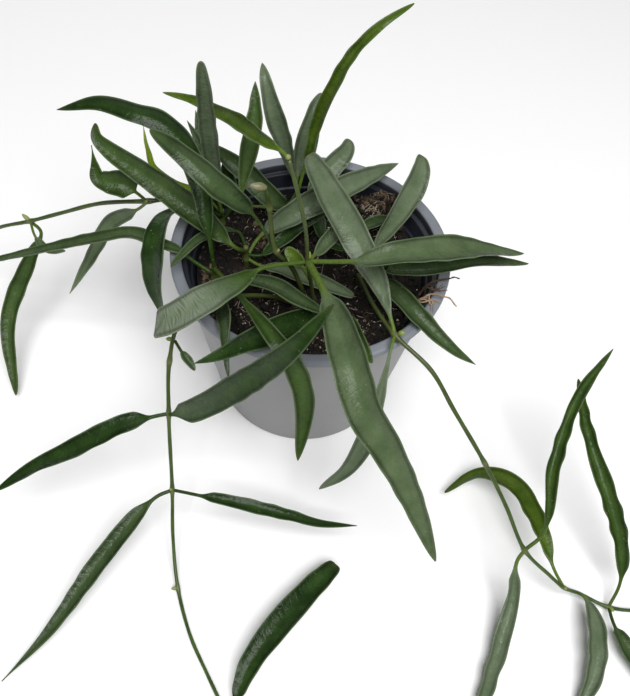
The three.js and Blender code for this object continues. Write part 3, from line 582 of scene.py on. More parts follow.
def add_leaf(shape, width, fold, stalk, face, outline, line, looks, waver, seed):
    """One leaf as a loft. With t from -1 to 1 across and s from 0 to 1 along the blade, the blade's
    half width is width/2 * sin(pi * s^swell)^(base to tip, as s grows), and w is the cube root of
    its cube plus the leaf stalk's radius cubed. A section's point lies t * w * cos(fold) out and
    t^2 * w * sin(fold) up, with half the thickness * sqrt(1 - t^4) above and below, a groove over
    the midrib and a ridge under it, a slow wave and a quick frill that grow with |t|^3, an outer
    part that turns down, a margin that wavers in and out, cross wrinkles from sines of the distance
    and of t, and a raised rim. The section turns into a circle of the leaf stalk's radius at the
    base."""
    chance = np.random.default_rng(seed)
    tone, silver, wrinkles, keeps_to = looks
    base, tip, swell = outline
    points = np.array(line) * MM
    track = smooth_line(points)
    length = distances(track)[-1]
    foot = np.linalg.norm(points[1] - points[0])
    stations = BLADE_STATIONS * (2 if keeps_to else 1)
    share = 0.5 - 0.5 * np.cos(np.pi * np.linspace(0, 1, stations))
    places = np.concatenate([np.linspace(0, foot, STALK_STATIONS, endpoint=False),
                             foot + (length - foot) * share])
    at, along = on_line(track, places)
    normal, side = carried_frames(along, face, STALK_STATIONS + stations // 2)

    # The blade's outline, fold and thickness.
    s = np.concatenate([np.zeros(STALK_STATIONS), share])[:, None]
    form = np.sin(np.pi * np.minimum(s, 0.9995) ** swell) ** (base + (tip - base) * s)
    petiole = stalk * MM * (1 - 0.75 * eased(s, 0, 0.3))
    blade = width / 2 * MM * form
    w = (blade ** 3 + petiole ** 3) ** (1 / 3)
    ease = np.clip(form / 0.8, 0, 1)
    bend = np.radians(fold) * ease
    flat = eased(s, 0, 0.1)
    t, up = ACROSS, SIDE_UP
    half = MM / 2 * (EDGE_THICKNESS + (BLADE_THICKNESS - EDGE_THICKNESS) * ease)
    lens = half * np.sqrt(1 - t ** 4)

    # Bands along the midrib and the margins, by the distance from them in mm.
    reach = np.abs(t) * w / MM
    inward = (1 - np.abs(t)) * w / MM
    rib = bell(reach, 0, RIB_WIDTH)
    # Painted highlight along the margin; the same band also raises the rim.
    rim = bell(inward, 0.2, 0.35) * flat * ease
    # Painted shade just inside the rim, weaker on blades narrower than 9 mm.
    shade = bell(inward, 1.1, 0.7) * flat * ease * min(1, width / 9) ** 2

    # Waves, frill and wavering margins, each half of the blade with its own.
    waves = chance.uniform(1.2, 2.6, 2)
    starts = chance.uniform(0, 2 * np.pi, 2)
    depth = chance.uniform(0.05, 0.11)
    slow = np.sin(2 * np.pi * np.where(t < 0, *waves) * s + np.where(t < 0, *starts))
    run = places[:, None] / MM
    calm = flat * (1 - eased(s, 0.82, 0.98))
    quick = np.where(t < 0, *chance.uniform(0.4, 0.65, 2))
    frill = np.sin(run * quick + starts[0]) * calm
    swing = np.sin(run * quick * 0.7 + 2 * np.sin(run * 0.13 + starts[0]) + starts[1])
    shift = waver * MM * np.sign(t) * t ** 2 * swing * calm * ease
    ripple = (depth * slow + FRILL * frill) * w * np.abs(t) ** 3 * flat
    recurve = chance.uniform(0.02, 0.12) * w * np.clip((np.abs(t) - 0.6) / 0.4, 0, 1) ** 2

    # Cross wrinkles, and the places of the side veins in vein spacings.
    kept = {1: eased(s, 0.12, 0.6), 0: np.ones_like(s), -1: 1 - eased(s, 0.03, 0.5)}[keeps_to]
    row = run + 0.5 * np.sin(run * 0.5 + 3 * t) - 0.1 * reach
    crease = np.sin(row * 5.1 + 1.3 * np.sin(row * 0.9 + 2 * t) + 1.2 * np.sin(row * 1.7 - 4 * t))
    crease = crease * (0.55 + 0.45 * np.sin(row * 0.83 + 5 * t))
    crease = wrinkles * kept * crease * (1 - t ** 4) * ease
    vein = (run - 0.45 * reach + 0.5 * np.sin(run * 0.7)) / VEIN_SPACING + chance.uniform(0, 9)

    rise = t ** 2 * w * np.sin(bend) + ripple - recurve + MM * crease
    rise = rise + np.where(up > 0, lens + MM * (RIM_RIDGE * rim - RIB_GROOVE * rib * flat * ease), 0)
    rise = rise - np.where(up < 0, lens + RIB_RIDGE * MM * rib * flat * ease, 0)
    out = t * w * np.cos(bend) + shift
    round_out = petiole * t
    round_rise = petiole * np.sqrt(1 - t ** 2) * up
    out = round_out + (out - round_out) * flat
    rise = round_rise + (rise - round_rise) * flat
    rings = at[:, None] + side[:, None] * out[:, :, None] + normal[:, None] * rise[:, :, None]

    # Strength of the painted highlight along the middle: 0.15, plus twice the tone for tones under 0.4.
    paler = 0.15 + (2 * tone if tone < 0.4 else 0)
    shape.add_loft(above_surface(rings), under=np.where(up < 0, 1, 0), rib=rib, rim=rim, shade=shade,
                   crease=crease, vein=vein, tone=tone, silver=silver * kept,
                   heart=bell(t, 0, 0.6) * ease * paler, blade=eased(s, 0, 0.07),
                   tip=eased(s, 0.95, 1))


# ---- stems ----

def add_stalk(shape, line, radius, nodes):
    """A stem as a loft: a straight peg in the soil, then a tube along the line, whose radius falls
    by the share THINNING over THINNING_LENGTH and by END_THINNING over its last END_LENGTH, grows
    at each node by NODE_SWELL * exp(-(distance / NODE_REACH)^2) and wavers a little between."""
    points = np.array(line, float) * MM
    peg = points[:1] + [[0, 0, (PEG_FOOT - line[0][2]) * MM], [0, 0, -1 * MM]]
    track = np.vstack([peg, smooth_line(points)])
    far = distances(track)
    places = np.linspace(0, far[-1], int(far[-1] / (STEM_STEP * MM)))
    at, along = on_line(track, places)
    spots = [far[len(peg) + SPAN_STEPS * node] for node in nodes]
    swell = sum(bell(places, spot, NODE_REACH * MM) for spot in spots)
    scar = sum(bell(places, spot, NODE_REACH / 2 * MM) for spot in spots)
    waver = 1 + 0.04 * np.sin(places / MM * 0.35 + 2 * points[0, 0] / MM)
    end = 1 - END_THINNING * eased(places, far[-1] - END_LENGTH * MM, far[-1])
    end = end * (1 - THINNING * np.clip(places / (THINNING_LENGTH * MM), 0, 1))
    girth = radius * MM * waver * (1 + NODE_SWELL * swell) * end
    rings = above_surface(tube(at, along, (0, -1, 0.01), girth, STEM_SIDES))
    age = 1 - eased(places, 0, BARK_LENGTH * MM)
    shape.add_loft(rings, knot=swell[:, None], scar=scar[:, None], age=age[:, None], bud=0, dry=0)


def add_bud(shape, point, direction, length, radius, dry):
    """A bud: a drop along a direction, whose radius is the given one times
    0.08 + 1.6 * sqrt(u) * (1 - u^2)."""
    direction = np.array(direction, float) / np.linalg.norm(direction)
    u = np.linspace(0, 0.98, BUD_STATIONS)
    at = np.array(point, float) * MM + direction * (u * length * MM)[:, None]
    along = np.repeat(direction[None], len(u), 0)
    girth = radius * MM * (0.08 + 1.6 * np.sqrt(u) * (1 - u ** 2))
    shape.add_loft(tube(at, along, (0.3, -0.9, 0.2), girth, BUD_SIDES), knot=0, scar=0, age=0,
                   dry=dry, bud=(0.6 + 0.4 * u)[:, None])


# ---- shader tools ----

def add_node(tree, kind, inputs=(), **settings):
    """A shader node with its settings, and each input given a value or joined to a socket."""
    made = tree.nodes.new(kind)
    for name, value in settings.items():
        setattr(made, name, value)
    for name, value in dict(inputs).items():
        if isinstance(value, bpy.types.NodeSocket):
            tree.links.new(value, made.inputs[name])
        else:
            made.inputs[name].default_value = value
    return made


def math_of(tree, operation, a, b):
    return add_node(tree, "ShaderNodeMath", {0: a, 1: b}, operation=operation).outputs[0]


def times(tree, a, b):
    return math_of(tree, "MULTIPLY", a, b)


def plus(tree, a, b):
    return math_of(tree, "ADD", a, b)


def field(tree, name, amount=None):
    """A number field of the mesh, times the amount where one is given."""
    value = add_node(tree, "ShaderNodeAttribute", attribute_name=name).outputs["Fac"]
    return value if amount is None else times(tree, value, amount)


def span(tree, value, low, high, start=0.0, end=1.0):
    """The value's place between low and high, as a number from start to end."""
    return add_node(tree, "ShaderNodeMapRange", {"Value": value, "From Min": low, "From Max": high,
                                                 "To Min": start, "To Max": end}).outputs["Result"]


def blend(tree, share, a, b):
    """Colour a mixed towards colour b by the share."""
    return add_node(tree, "ShaderNodeMix", {0: share, 6: a, 7: b}, data_type="RGBA").outputs[2]


def layered(tree, colour, *layers):
    """The colour under layers, each a share and the colour to blend towards."""
    for share, over in layers:
        colour = blend(tree, share, colour, over)
    return colour


def noise(tree, where, scale, detail, roughness=0.55):
    return add_node(tree, "ShaderNodeTexNoise", {"Vector": where, "Scale": scale, "Detail": detail,
                                                 "Roughness": roughness}).outputs["Fac"]


def object_place(tree):
    return add_node(tree, "ShaderNodeTexCoord").outputs["Object"]


def new_group(name, numbers, results):
    """An empty node group that is given a place and numbers, and makes numbers."""
    tree = bpy.data.node_groups.new(name, "ShaderNodeTree")
    tree.interface.new_socket("Where", in_out="INPUT", socket_type="NodeSocketVector")
    for label in numbers:
        tree.interface.new_socket(label, in_out="INPUT", socket_type="NodeSocketFloat")
    for label in results:
        tree.interface.new_socket(label, in_out="OUTPUT", socket_type="NodeSocketFloat")
    return tree, tree.nodes.new("NodeGroupInput").outputs, tree.nodes.new("NodeGroupOutput").inputs


def make_mottle():
    """Soft blotches of two sizes over fine grain, and the height of the grain."""
    tree, given, made = new_group("mottle", ["Blotch", "Grain"], ["Blotches", "Grains"])
    large = noise(tree, given["Where"], given["Blotch"], 3.0)
    small = noise(tree, given["Where"], given["Grain"], 3.0, 0.6)
    both = plus(tree, times(tree, large, 0.8), times(tree, small, 0.2))
    tree.links.new(span(tree, both, 0.32, 0.68), made["Blotches"])
    tree.links.new(small, made["Grains"])
    return tree


def make_specks():
    """Small round spots: cells whose middle is nearer than the size, thinned by a slow noise."""
    tree, given, made = new_group("specks", ["Scale", "Size", "Patch"], ["Spots"])
    cells = add_node(tree, "ShaderNodeTexVoronoi", {"Vector": given["Where"], "Scale": given["Scale"]})
    near = math_of(tree, "LESS_THAN", cells.outputs["Distance"], given["Size"])
    where = span(tree, noise(tree, given["Where"], given["Patch"], 2.0), 0.52, 0.66)
    tree.links.new(times(tree, near, where), made["Spots"])
    return tree


MOTTLE = make_mottle()
SPECKS = make_specks()


def mottle(tree, where, blotch, grain):
    return add_node(tree, "ShaderNodeGroup", {"Where": where, "Blotch": blotch, "Grain": grain},
                    node_tree=MOTTLE).outputs


def specks(tree, where, scale, size, patch):
    return add_node(tree, "ShaderNodeGroup", {"Where": where, "Scale": scale, "Size": size,
                                              "Patch": patch}, node_tree=SPECKS).outputs["Spots"]


def new_material(name, **plain):
    """A material with a Principled shader, whose constant inputs are given here."""
    material = bpy.data.materials.new(name)
    material.use_nodes = True
    tree = material.node_tree
    shader = tree.nodes["Principled BSDF"]
    for label, value in plain.items():
        shader.inputs[label.replace("_", " ")].default_value = value
    return material, tree, shader


def bump(tree, shader, height, strength, distance):
    made = add_node(tree, "ShaderNodeBump", {"Height": height, "Strength": strength,
                                             "Distance": distance})
    tree.links.new(made.outputs["Normal"], shader.inputs["Normal"])


# ---- materials ----

def make_waxy_leaf():
    """Leathery dark green blade: deep to young green by tone, with painted light shining through the
    youngest, grey bloom in patches that is partly real and partly painted sheen, faint slanting side
    veins, a painted highlight along the middle, painted shade in its creases, a paler dull back, a pale
    thin rim that is a painted highlight with a painted shade line inside it, a few flecks, a brownish
    tip, and the leaf stalk's own green."""
    material, tree, shader = new_material("waxy_leaf", Specular_IOR_Level=0.13)
    where = object_place(tree)
    spots = mottle(tree, where, 120.0, 1100.0)
    tone, under = field(tree, "tone"), field(tree, "under")
    vein = span(tree, math_of(tree, "PINGPONG", field(tree, "vein"), 0.5), 0.0, 0.12, 1.0, 0.0)

    back = layered(tree, blend(tree, spots["Blotches"], *BACK_GREEN),
                   (span(tree, tone, 0.4, 0.8), (0.11, 0.17, 0.014, 1)))
    stalk = layered(tree, blend(tree, spots["Grains"], *OLD_LEAF_STALK),
                    (span(tree, tone, 0.1, 0.3), blend(tree, spots["Grains"], *YOUNG_LEAF_STALK)))
    green = layered(tree, blend(tree, spots["Blotches"], *OLD_GREEN),
                    (tone, blend(tree, spots["Blotches"], *YOUNG_GREEN)),
                    # Grey bloom in patches: partly real silvery bloom, partly painted sheen.
                    (field(tree, "silver", span(tree, spots["Blotches"], 0.0, 1.0, 0.5, 0.9)),
                     (0.17, 0.2, 0.145, 1)),
                    (times(tree, vein, 0.03), (0.1, 0.16, 0.05, 1)),
                    # Painted highlight along the middle of the blade.
                    (field(tree, "heart", 0.45), (0.065, 0.12, 0.045, 1)),
                    # Painted shade in the troughs of the cross wrinkles.
                    (span(tree, field(tree, "crease"), -0.2, 0.05, 0.45, 0.0), (0.03, 0.05, 0.02, 1)),
                    (times(tree, under, 0.85), back),
                    # Painted light shining through the youngest leaves, over their real yellow-green.
                    (span(tree, tone, 0.7, 0.85), (0.21, 0.31, 0.015, 1)),
                    (field(tree, "rib", 0.04), (0.08, 0.14, 0.03, 1)))
    flecks = specks(tree, where, 420.0, 0.13, 90.0)
    green = layered(tree, blend(tree, field(tree, "blade"), stalk, green),
                    # Painted shade: a dark line just inside the rim.
                    (field(tree, "shade", 0.6), (0.004, 0.01, 0.002, 1)),
                    # Painted highlight along the rim.
                    (field(tree, "rim", 0.5), (0.13, 0.18, 0.09, 1)),
                    (times(tree, flecks, 0.35), (0.26, 0.3, 0.2, 1)),
                    (field(tree, "tip", 0.3), (0.08, 0.07, 0.035, 1)))
    tree.links.new(green, shader.inputs["Base Color"])

    rough = span(tree, spots["Blotches"], 0.0, 1.0, 0.18, 0.32)
    tree.links.new(plus(tree, rough, times(tree, under, 0.1)), shader.inputs["Roughness"])
    height = plus(tree, times(tree, spots["Grains"], 0.3), noise(tree, where, 330.0, 2.0))
    bump(tree, shader, plus(tree, height, times(tree, vein, -0.1)), 0.45, 0.0008)
    return material


def make_olive_stalk():
    """Olive stem, browner low down and at its nodes, with pale scars and buds, fine grain."""
    material, tree, shader = new_material("olive_stalk", Specular_IOR_Level=0.4)
    spots = mottle(tree, object_place(tree), 160.0, 1500.0)
    bud = layered(tree, blend(tree, spots["Blotches"], *BUD_GREEN),
                  (field(tree, "dry"), blend(tree, spots["Grains"], *BUD_WITHERED)))
    green = layered(tree, blend(tree, spots["Blotches"], *STEM_GREEN),
                    (field(tree, "age", 0.5), blend(tree, spots["Grains"], *STEM_BARK)),
                    (field(tree, "knot", 0.35), (0.075, 0.08, 0.02, 1)),
                    (field(tree, "scar", 0.35), (0.2, 0.22, 0.09, 1)),
                    (field(tree, "bud"), bud))
    tree.links.new(green, shader.inputs["Base Color"])
    tree.links.new(span(tree, spots["Grains"], 0.3, 0.7, 0.3, 0.46), shader.inputs["Roughness"])
    bump(tree, shader, spots["Grains"], 0.3, 0.0003)
    return material


def make_grey_plastic():
    """Matt moulded plastic: light grey outside, bluer on the lip, near-black lining, faint mottle
    and soil dust."""
    material, tree, shader = new_material("grey_plastic", Specular_IOR_Level=0.4)
    where = object_place(tree)
    spots = mottle(tree, where, 45.0, 2200.0)
    colour = layered(tree, blend(tree, spots["Blotches"], *POT_OUTSIDE),
                     (field(tree, "lip"), blend(tree, spots["Blotches"], *POT_LIP)),
                     (field(tree, "lining"), blend(tree, spots["Blotches"], *POT_LINING)),
                     (times(tree, specks(tree, where, 700.0, 0.22, 60.0), 0.35), (0.12, 0.1, 0.08, 1)))
    tree.links.new(colour, shader.inputs["Base Color"])
    tree.links.new(span(tree, spots["Blotches"], 0.0, 1.0, 0.45, 0.6), shader.inputs["Roughness"])
    bump(tree, shader, spots["Grains"], 0.15, 0.0002)
    return material


def make_peat():
    """Damp dark peat, near-black to dark brown in random blotches, with lighter brown crumbs."""
    material, tree, shader = new_material("damp_peat", Specular_IOR_Level=0.3, Roughness=0.9)
    where = object_place(tree)
    spots = mottle(tree, where, 260.0, 1400.0)
    brown = layered(tree, blend(tree, spots["Blotches"], *PEAT),
                    (specks(tree, where, 420.0, 0.3, 150.0), (0.1, 0.075, 0.055, 1)))
    tree.links.new(brown, shader.inputs["Base Color"])
    bump(tree, shader, spots["Grains"], 0.8, 0.001)
    return material


def make_grained(name, dark, light, roughness, scale):
    """Small loose stuff: each bit between two colours by its own field, with fine grain."""
    material, tree, shader = new_material(name, Specular_IOR_Level=0.3, Roughness=roughness)
    spots = mottle(tree, object_place(tree), scale, scale * 5)
    mix = plus(tree, field(tree, "own", 0.7), times(tree, spots["Blotches"], 0.3))
    tree.links.new(blend(tree, mix, dark, light), shader.inputs["Base Color"])
    bump(tree, shader, spots["Grains"], 0.5, 0.0004)
    return material


def make_pale_floor():
    """Plain pale backdrop with the least trace of tone."""
    material, tree, shader = new_material("pale_floor", Roughness=0.8, Specular_IOR_Level=0.2)
    tone = noise(tree, object_place(tree), 3.0, 2.0)
    tree.links.new(blend(tree, tone, *FLOOR_WHITE), shader.inputs["Base Color"])
    return material


# ---- pot ----

def rounded(corners):
    """The profile with each inner corner replaced by a parabolic arc that starts and ends at most
    CORNER_RADIUS, and at most 0.45 of the side's length, from the corner."""
    corners = np.array(corners, float)
    side = np.diff(corners, axis=0)
    size = np.linalg.norm(side, axis=1, keepdims=True)
    cut = np.minimum(CORNER_RADIUS, 0.45 * size)
    unit = side / size
    mid = corners[1:-1]
    enter = mid - unit[:-1] * cut[:-1]
    leave = mid + unit[1:] * cut[1:]
    u = np.linspace(0, 1, CORNER_STEPS)[None, :, None]
    arcs = enter[:, None] * (1 - u) ** 2 + mid[:, None] * 2 * u * (1 - u) + leave[:, None] * u ** 2
    return np.vstack([corners[:1], arcs.reshape(-1, 2), corners[-1:]])


def lathe(profile, around):
    """Rings of a profile (radius, height) turned about Z."""
    turn = even_turns(around)
    radius, height = profile[:, 0, None], profile[:, 1, None]
    return np.stack([radius * np.cos(turn), radius * np.sin(turn), height + 0 * turn], -1) * MM


def make_pot(material):
    """The pot turned from its profile, which runs from the middle of the base up the outside and
    down the inside, with drain holes cut through its floor."""
    foot = FOOT_RADIUS - FOOT_WIDTH
    lip = RIM_RADIUS - RIM_WIDTH
    under = POT_HEIGHT - RIM_DEPTH
    profile = rounded([
        (0.01, 0), (PAD_RADIUS, 0), (PAD_RADIUS + 2, FLOOR_LIFT), (foot - 2, FLOOR_LIFT), (foot, 0),
        (FOOT_RADIUS - 0.8, 0), (FOOT_RADIUS, 1), (SHOULDER_RADIUS - 1.4, under - 8.2),
        (SHOULDER_RADIUS - 0.5, under - 7.2), (SHOULDER_RADIUS + 0.2, under - 0.1),
        (RIM_RADIUS - 0.5, under), (RIM_RADIUS, under + 0.6), (RIM_RADIUS, POT_HEIGHT - 0.5),
        (RIM_RADIUS - 0.9, POT_HEIGHT), (lip + 0.9, POT_HEIGHT - 0.2), (lip, POT_HEIGHT - 0.8),
        (lip - 0.2, LEDGE_Z + 0.5), (INNER_SHOULDER, LEDGE_Z),
        (INNER_SHOULDER - 0.9, LEDGE_Z - 7), (INNER_SHOULDER - 1.9, LEDGE_Z - 7.6), (INNER_FOOT, FLOOR_Z),
        (PAD_RADIUS + 1, FLOOR_Z), (PAD_RADIUS - 0.6, WALL), (0.01, WALL)])
    crest = int(np.argmax(profile[:, 0] + profile[:, 1]))
    height = profile[:, 1]
    inside = np.arange(len(profile)) > crest
    lining = np.where(inside, eased(-height, -(POT_HEIGHT - 0.5), -(POT_HEIGHT - 1.6)), 0)
    band = np.where(inside, 1, eased(height, under - 0.4, under + 0.2))
    shell = Shape()
    shell.add_loft(lathe(profile, AROUND_POT)[:, ::-1], lining=lining[:, None], lip=band[:, None])
    pot = shell.piece("pot_shell", material, "pot_plastic", "pot")

    drains = Shape()
    for turn in even_turns(DRAIN_COUNT):
        drain = lathe(np.array([(DRAIN_RADIUS, -1), (DRAIN_RADIUS, FLOOR_Z + 2)]), AROUND_DRAIN)
        middle = DRAIN_RING * np.array([np.cos(turn), np.sin(turn), 0])
        drains.add_loft(drain[:, ::-1] + middle * MM, lining=1, lip=0)
    cutter = drains.piece("drain_bores", material, "pot_plastic")
    drill = pot.modifiers.new("drain_holes", "BOOLEAN")
    drill.operation = "DIFFERENCE"
    drill.object = cutter
    ready = pot.evaluated_get(bpy.context.evaluated_depsgraph_get())
    drilled = bpy.data.meshes.new_from_object(ready)
    pot.modifiers.remove(drill)
    pot.data = drilled
    bpy.data.objects.remove(cutter)


# ---- soil ----

def heap(x, y):
    """Height of the heap against the wall at the back: a bell in the distance from its middle."""
    return HEAP_HEIGHT * bell(np.hypot(x - HEAP[0], y - HEAP[1]), 0, HEAP_SPREAD)


def lumps(x, y):
    """Height of the soil over its level and heap in mm: sine products of falling size and rising
    pitch, each turned against the last."""
    height = 0
    for k, (size, pitch, turn) in enumerate(LUMPS):
        u = x * np.cos(turn) + y * np.sin(turn)
        v = y * np.cos(turn) - x * np.sin(turn)
        height = height + size * np.sin(pitch * u + k) * np.cos(pitch * 1.3 * v - 2 * k)
    return height


def ground(x, y):
    return SOIL_TOP + heap(x, y) + lumps(x, y)


def make_soil(material):
    """The peat plug: a disc below, a wall that follows the pot, and a top whose height is the level
    plus the heap plus the lumps, which ease to nothing at the wall."""
    base = np.array([(0.01, FLOOR_Z + SOIL_GAP), (INNER_FOOT - SOIL_GAP - 1, FLOOR_Z + SOIL_GAP),
                     (INNER_FOOT - SOIL_GAP, FLOOR_Z + SOIL_GAP + 1)])
    radii = np.linspace(SOIL_REACH, 0.01, SOIL_RINGS)
    profile = np.vstack([base, np.stack([radii, np.full(SOIL_RINGS, SOIL_TOP)], 1)])
    rings = lathe(profile, AROUND_SOIL)
    top = rings[len(base):]
    x, y = top[:, :, 0] / MM, top[:, :, 1] / MM
    fade = eased(-radii, -SOIL_REACH, -SOIL_REACH + 1.5)[:, None]
    top[:, :, 2] += (lumps(x, y) * fade + heap(x, y)) * MM
    plug = Shape()
    plug.add_loft(rings[:, ::-1])
    plug.piece("peat_bed", material, "peat_mix", "soil")


# ---- loose bits on the soil ----

def turned(chance, count):
    """Rotation matrices with even random axes, from normed random quaternions."""
    q = chance.normal(size=(count, 4))
    q /= np.linalg.norm(q, axis=1, keepdims=True)
    w, x, y, z = q.T
    rows = [[1 - 2 * (y * y + z * z), 2 * (x * y - w * z), 2 * (x * z + w * y)],
            [2 * (x * y + w * z), 1 - 2 * (x * x + z * z), 2 * (y * z - w * x)],
            [2 * (x * z - w * y), 2 * (y * z + w * x), 1 - 2 * (x * x + y * y)]]
    return np.array(rows).transpose(2, 0, 1)


def soil_places(chance, count, clear, heaps, spread):
    """Random places on the soil that stay the given distance from its edge: even by area, or a
    normal spread round the middles of heaps. On the heap against the wall they may lie on the
    pot's ledge."""
    reach = SOIL_REACH - clear
    radius = reach * np.sqrt(chance.uniform(0, 1, count))
    turn = chance.uniform(0, 2 * np.pi, count)
    x, y = radius * np.cos(turn), radius * np.sin(turn)
    if heaps:
        near = np.array(heaps, float)[chance.integers(0, len(heaps), count)]
        x, y = (near + chance.normal(0, spread, (count, 2))).T
        high = heap(x, y) > HEAP_CREST * HEAP_HEIGHT
        pull = np.minimum(1, np.where(high, LEDGE_REACH, reach) / np.hypot(x, y))
        x, y = x * pull, y * pull
    return np.stack([x, y, ground(x, y)], 1)


def scatter_lumps(shape, chance, count, sizes, flatness, roughness, heaps=(), spread=BITS_SPREAD):
    """Rough little stones: rings of points on a ball, each pushed in or out by a random share,
    scaled along three axes, turned and set in the soil."""
    lean = np.linspace(0.45, np.pi - 0.45, STONE_RINGS)[:, None]
    turn = even_turns(STONE_SIDES)
    ball = np.stack([np.sin(lean) * np.cos(turn), np.sin(lean) * np.sin(turn),
                     np.cos(lean) + 0 * turn], -1)
    size = chance.uniform(*sizes, count) * chance.uniform(0.5, 1, count)
    stretch = np.stack([size, size * chance.uniform(0.5, 0.9, count), size * flatness], 1)
    push = chance.uniform(1 - roughness, 1 + roughness, (count, STONE_RINGS, STONE_SIDES, 1))
    bits = ball[None] * push * stretch[:, None, None]
    bits = np.einsum("nij,nabj->nabi", turned(chance, count), bits)
    places = soil_places(chance, count, sizes[1], heaps, spread)
    places[:, 2] += size * chance.uniform(-0.2, 0.5, count)
    own = chance.uniform(0, 1, count) ** 2
    for bit, place, colour in zip(bits, places, own):
        shape.add_loft((bit + place)[:, ::-1] * MM, own=colour)


def scatter_fibres(shape, chance, count, heaps=()):
    """Coir fibres: thin tubes on shallow arcs, whose height over the soil is a low hump on a slight
    tilt, with a sideways bow that grows as the square of the distance from the middle."""
    u = np.linspace(-1, 1, FIBRE_STATIONS)
    for _ in range(count):
        place = soil_places(chance, 1, FIBRE_CLEAR, heaps, FIBRE_SPREAD)[0]
        length, bow, hump = chance.uniform(1.2, 5), chance.uniform(-1, 1), chance.uniform(0.1, 1.2)
        heading = chance.uniform(0, 2 * np.pi)
        lead = np.array([np.cos(heading), np.sin(heading), 0])
        aside = np.array([-lead[1], lead[0], 0])
        tilt = chance.uniform(-0.25, 0.25) * length
        line = place + lead * (u * length)[:, None] + aside * (bow * u ** 2)[:, None]
        line[:, 2] = ground(line[:, 0], line[:, 1]) + 0.2 + hump * (1 - u ** 2) + tilt * u * 0.4
        at, along = on_line(line, distances(line))
        girth = chance.uniform(0.1, 0.24) * (1 - 0.6 * u ** 2)
        shape.add_loft(tube(at, along, (0, 0, 1), girth, FIBRE_SIDES) * MM, own=chance.uniform(0, 1))


def make_loose_bits(chance):
    """Crumbs, bark chips, coir fibres and pale grit, over all the soil and on heaps."""
    crumbs = Shape()
    scatter_lumps(crumbs, chance, CRUMBS, (0.5, 1.9), 0.5, 0.3)
    scatter_lumps(crumbs, chance, CLODS, (1.4, 3.1), 0.45, 0.35)
    scatter_lumps(crumbs, chance, HEAP_BITS, (0.5, 1.7), 0.5, 0.35, [HEAP], 9)
    bark = Shape()
    scatter_lumps(bark, chance, BARK, (1.2, 2.9), 0.35, 0.4, BARK_HEAPS)
    scatter_lumps(bark, chance, HEAP_BITS // 4, (0.5, 2.0), 0.25, 0.45, [HEAP], 7.5)
    scatter_lumps(bark, chance, 2 * GRAINS, (0.5, 1.4), 0.35, 0.4, GRIT_HEAPS, 4)
    fibres = Shape()
    scatter_fibres(fibres, chance, FIBRES)
    scatter_fibres(fibres, chance, FIBRES // 2, [HEAP])
    grains = Shape()
    scatter_lumps(grains, chance, GRAINS, (0.3, 0.8), 0.7, 0.2)
    scatter_lumps(grains, chance, GRAINS, (0.3, 0.7), 0.7, 0.2, GRIT_HEAPS)
    for shape, (name, stuff, *looks) in zip([crumbs, bark, fibres, grains], LOOSE_BITS):
        shape.piece(name, make_grained(stuff, *looks), "peat_mix")


# ---- rootlets ----

def add_rootlet(shape, chance, line):
    """A root: a tube along its line that thins towards its end and wavers. Side hairs leave it
    outwards over the rim, to a random place at the rim's edge."""
    track = smooth_line(np.array(line) * MM)
    places = np.linspace(0, distances(track)[-1], ROOT_STATIONS)
    at, along = on_line(track, places)
    at[:, 2] += 0.12 * MM * np.sin(places / MM * 1.3)
    at[:, 1] += 0.25 * MM * np.sin(places / MM * 0.8)
    u = np.linspace(0, 1, ROOT_STATIONS)
    girth = ROOT_RADIUS * MM * (1 - 0.55 * u) * (1 + 0.15 * np.sin(places / MM * 2.1))
    shape.add_loft(tube(at, along, (0, 1, 0.1), girth, ROOT_SIDES), own=(0.3 + 0.4 * u)[:, None])
    for station in HAIRS_FROM:
        begin = at[station] / MM
        radius = np.hypot(begin[0], begin[1])
        out = begin * [1, 1, 0] / radius
        aside = np.array([-out[1], out[0], 0])
        beyond = POT_HEIGHT + 0.5 - begin[2]
        track = [[0, 0, 0], [0.3, chance.uniform(-2, 2), beyond + 0.6],
                 [0.65, chance.uniform(-3, 3), beyond], [1, chance.uniform(-4, 4), beyond - 0.1]]
        length = RIM_RADIUS + chance.uniform(-2.5, 0.5) - radius
        steps = [out * (a * length) + aside * b + [0, 0, c] for a, b, c in track]
        hair = smooth_line((begin + steps) * MM, HAIR_STEPS)
        far = distances(hair)
        where, heading = on_line(hair, far)
        thin = chance.uniform(0.18, 0.4) * MM * (1 - 0.6 * far / far[-1])
        shape.add_loft(tube(where, heading, (0, 0, 1), thin, HAIR_SIDES), own=0.8)


# ---- camera, floor and light ----

def stand(made, right, up, back, place):
    """Turns an object so that its own axes are the three directions, and puts it at the place."""
    axes = Matrix(np.column_stack([right, up, back]).tolist()).to_4x4()
    axes.translation = place
    made.matrix_world = axes


def make_camera():
    """Looks along a direction turned and tipped by the angles, and leans about that direction."""
    turn, down, lean = np.radians([TURN_LEFT_RIGHT, LOOK_DOWN, LEAN])
    ahead = np.array([np.sin(turn) * np.cos(down), np.cos(turn) * np.cos(down), -np.sin(down)])
    right = np.cross(ahead, (0, 0, 1))
    right /= np.linalg.norm(right)
    up = np.cross(right, ahead)
    right, up = (np.cos(lean) * right + np.sin(lean) * up, np.cos(lean) * up - np.sin(lean) * right)
    data = bpy.data.cameras.new("camera")
    data.sensor_fit = "VERTICAL"
    data.sensor_height = SENSOR
    data.lens = FOCAL_PIXELS / IMAGE_HEIGHT * SENSOR
    data.clip_start = NEAR_LIMIT * MM
    camera = put_in_scene("camera", data)
    stand(camera, right, up, -ahead, [v * MM for v in EYE])
    bpy.context.scene.camera = camera


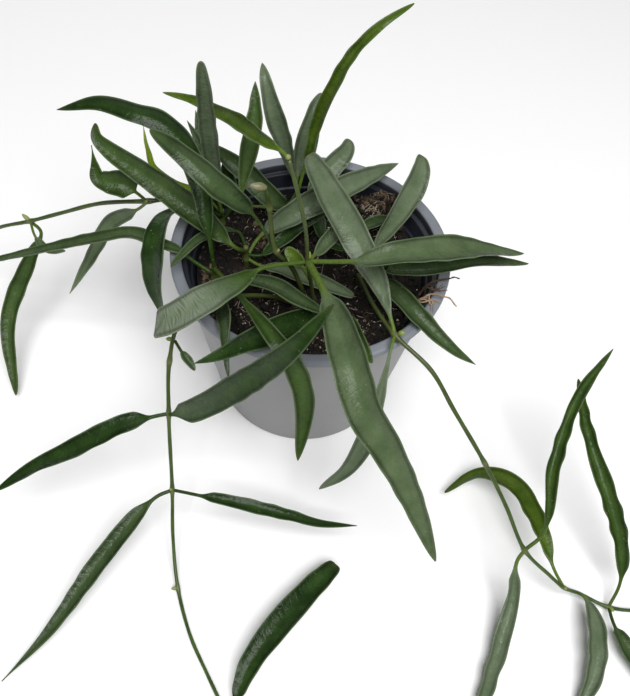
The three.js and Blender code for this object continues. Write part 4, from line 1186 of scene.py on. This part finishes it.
def make_floor(material):
    """A flat square far wider than the plant."""
    mesh = bpy.data.meshes.new("floor")
    corners = [(-1, -1), (1, -1), (1, 1), (-1, 1)]
    mesh.from_pydata([(x * FLOOR_HALF, y * FLOOR_HALF, 0) for x, y in corners], [], [(0, 1, 2, 3)])
    mesh.materials.append(material)
    floor = put_in_scene("floor", mesh)


def make_softbox(name, place, power):
    """A flat oblong lamp that faces the lit point."""
    data = bpy.data.lights.new(name, "AREA")
    data.shape = "RECTANGLE"
    data.size, data.size_y = SOFTBOX_SIZE
    data.energy = power
    back = np.subtract(place, LIT_POINT)
    back = back / np.linalg.norm(back)
    side = np.cross((0, 1, 0.001), back)
    side /= np.linalg.norm(side)
    stand(put_in_scene(name, data), side, np.cross(back, side), back, place)


def make_world():
    world = bpy.data.worlds.new("studio")
    world.use_nodes = True
    air = world.node_tree.nodes["Background"]
    air.inputs["Color"].default_value = (1, 1, 1, 1)
    air.inputs["Strength"].default_value = AIR_STRENGTH
    bpy.context.scene.world = world


bpy.context.scene.view_settings.view_transform = "Standard"
make_camera()
make_floor(make_pale_floor())
make_world()
for softbox in SOFTBOXES:
    make_softbox(*softbox)

make_pot(make_grey_plastic())
make_soil(make_peat())
chance = np.random.default_rng(BITS_SEED)
make_loose_bits(chance)

olive_stalk = make_olive_stalk()
waxy_leaf = make_waxy_leaf()
for number, row in enumerate(LEAFY_STEMS):
    stalk = Shape()
    add_stalk(stalk, row["line"], row["radius"], row["nodes"])
    for bud in row["buds"]:
        add_bud(stalk, *bud)
    stalk.piece(row["name"] + "_stalk", olive_stalk, "leaf_green", row["name"])
    blades = Shape()
    for order, blade in enumerate(row["leaves"]):
        add_leaf(blades, seed=LEAF_SEEDS * number + order, **blade)
    blades.piece(row["name"] + "_blades", waxy_leaf, "leaf_green", row["name"])

for name, slot, dark, light, line in ROOTLETS:
    root = Shape()
    add_rootlet(root, chance, line)
    root.piece(name + "_root", make_grained(slot + "_bark", dark, light, 0.75, 500.0), slot, name)
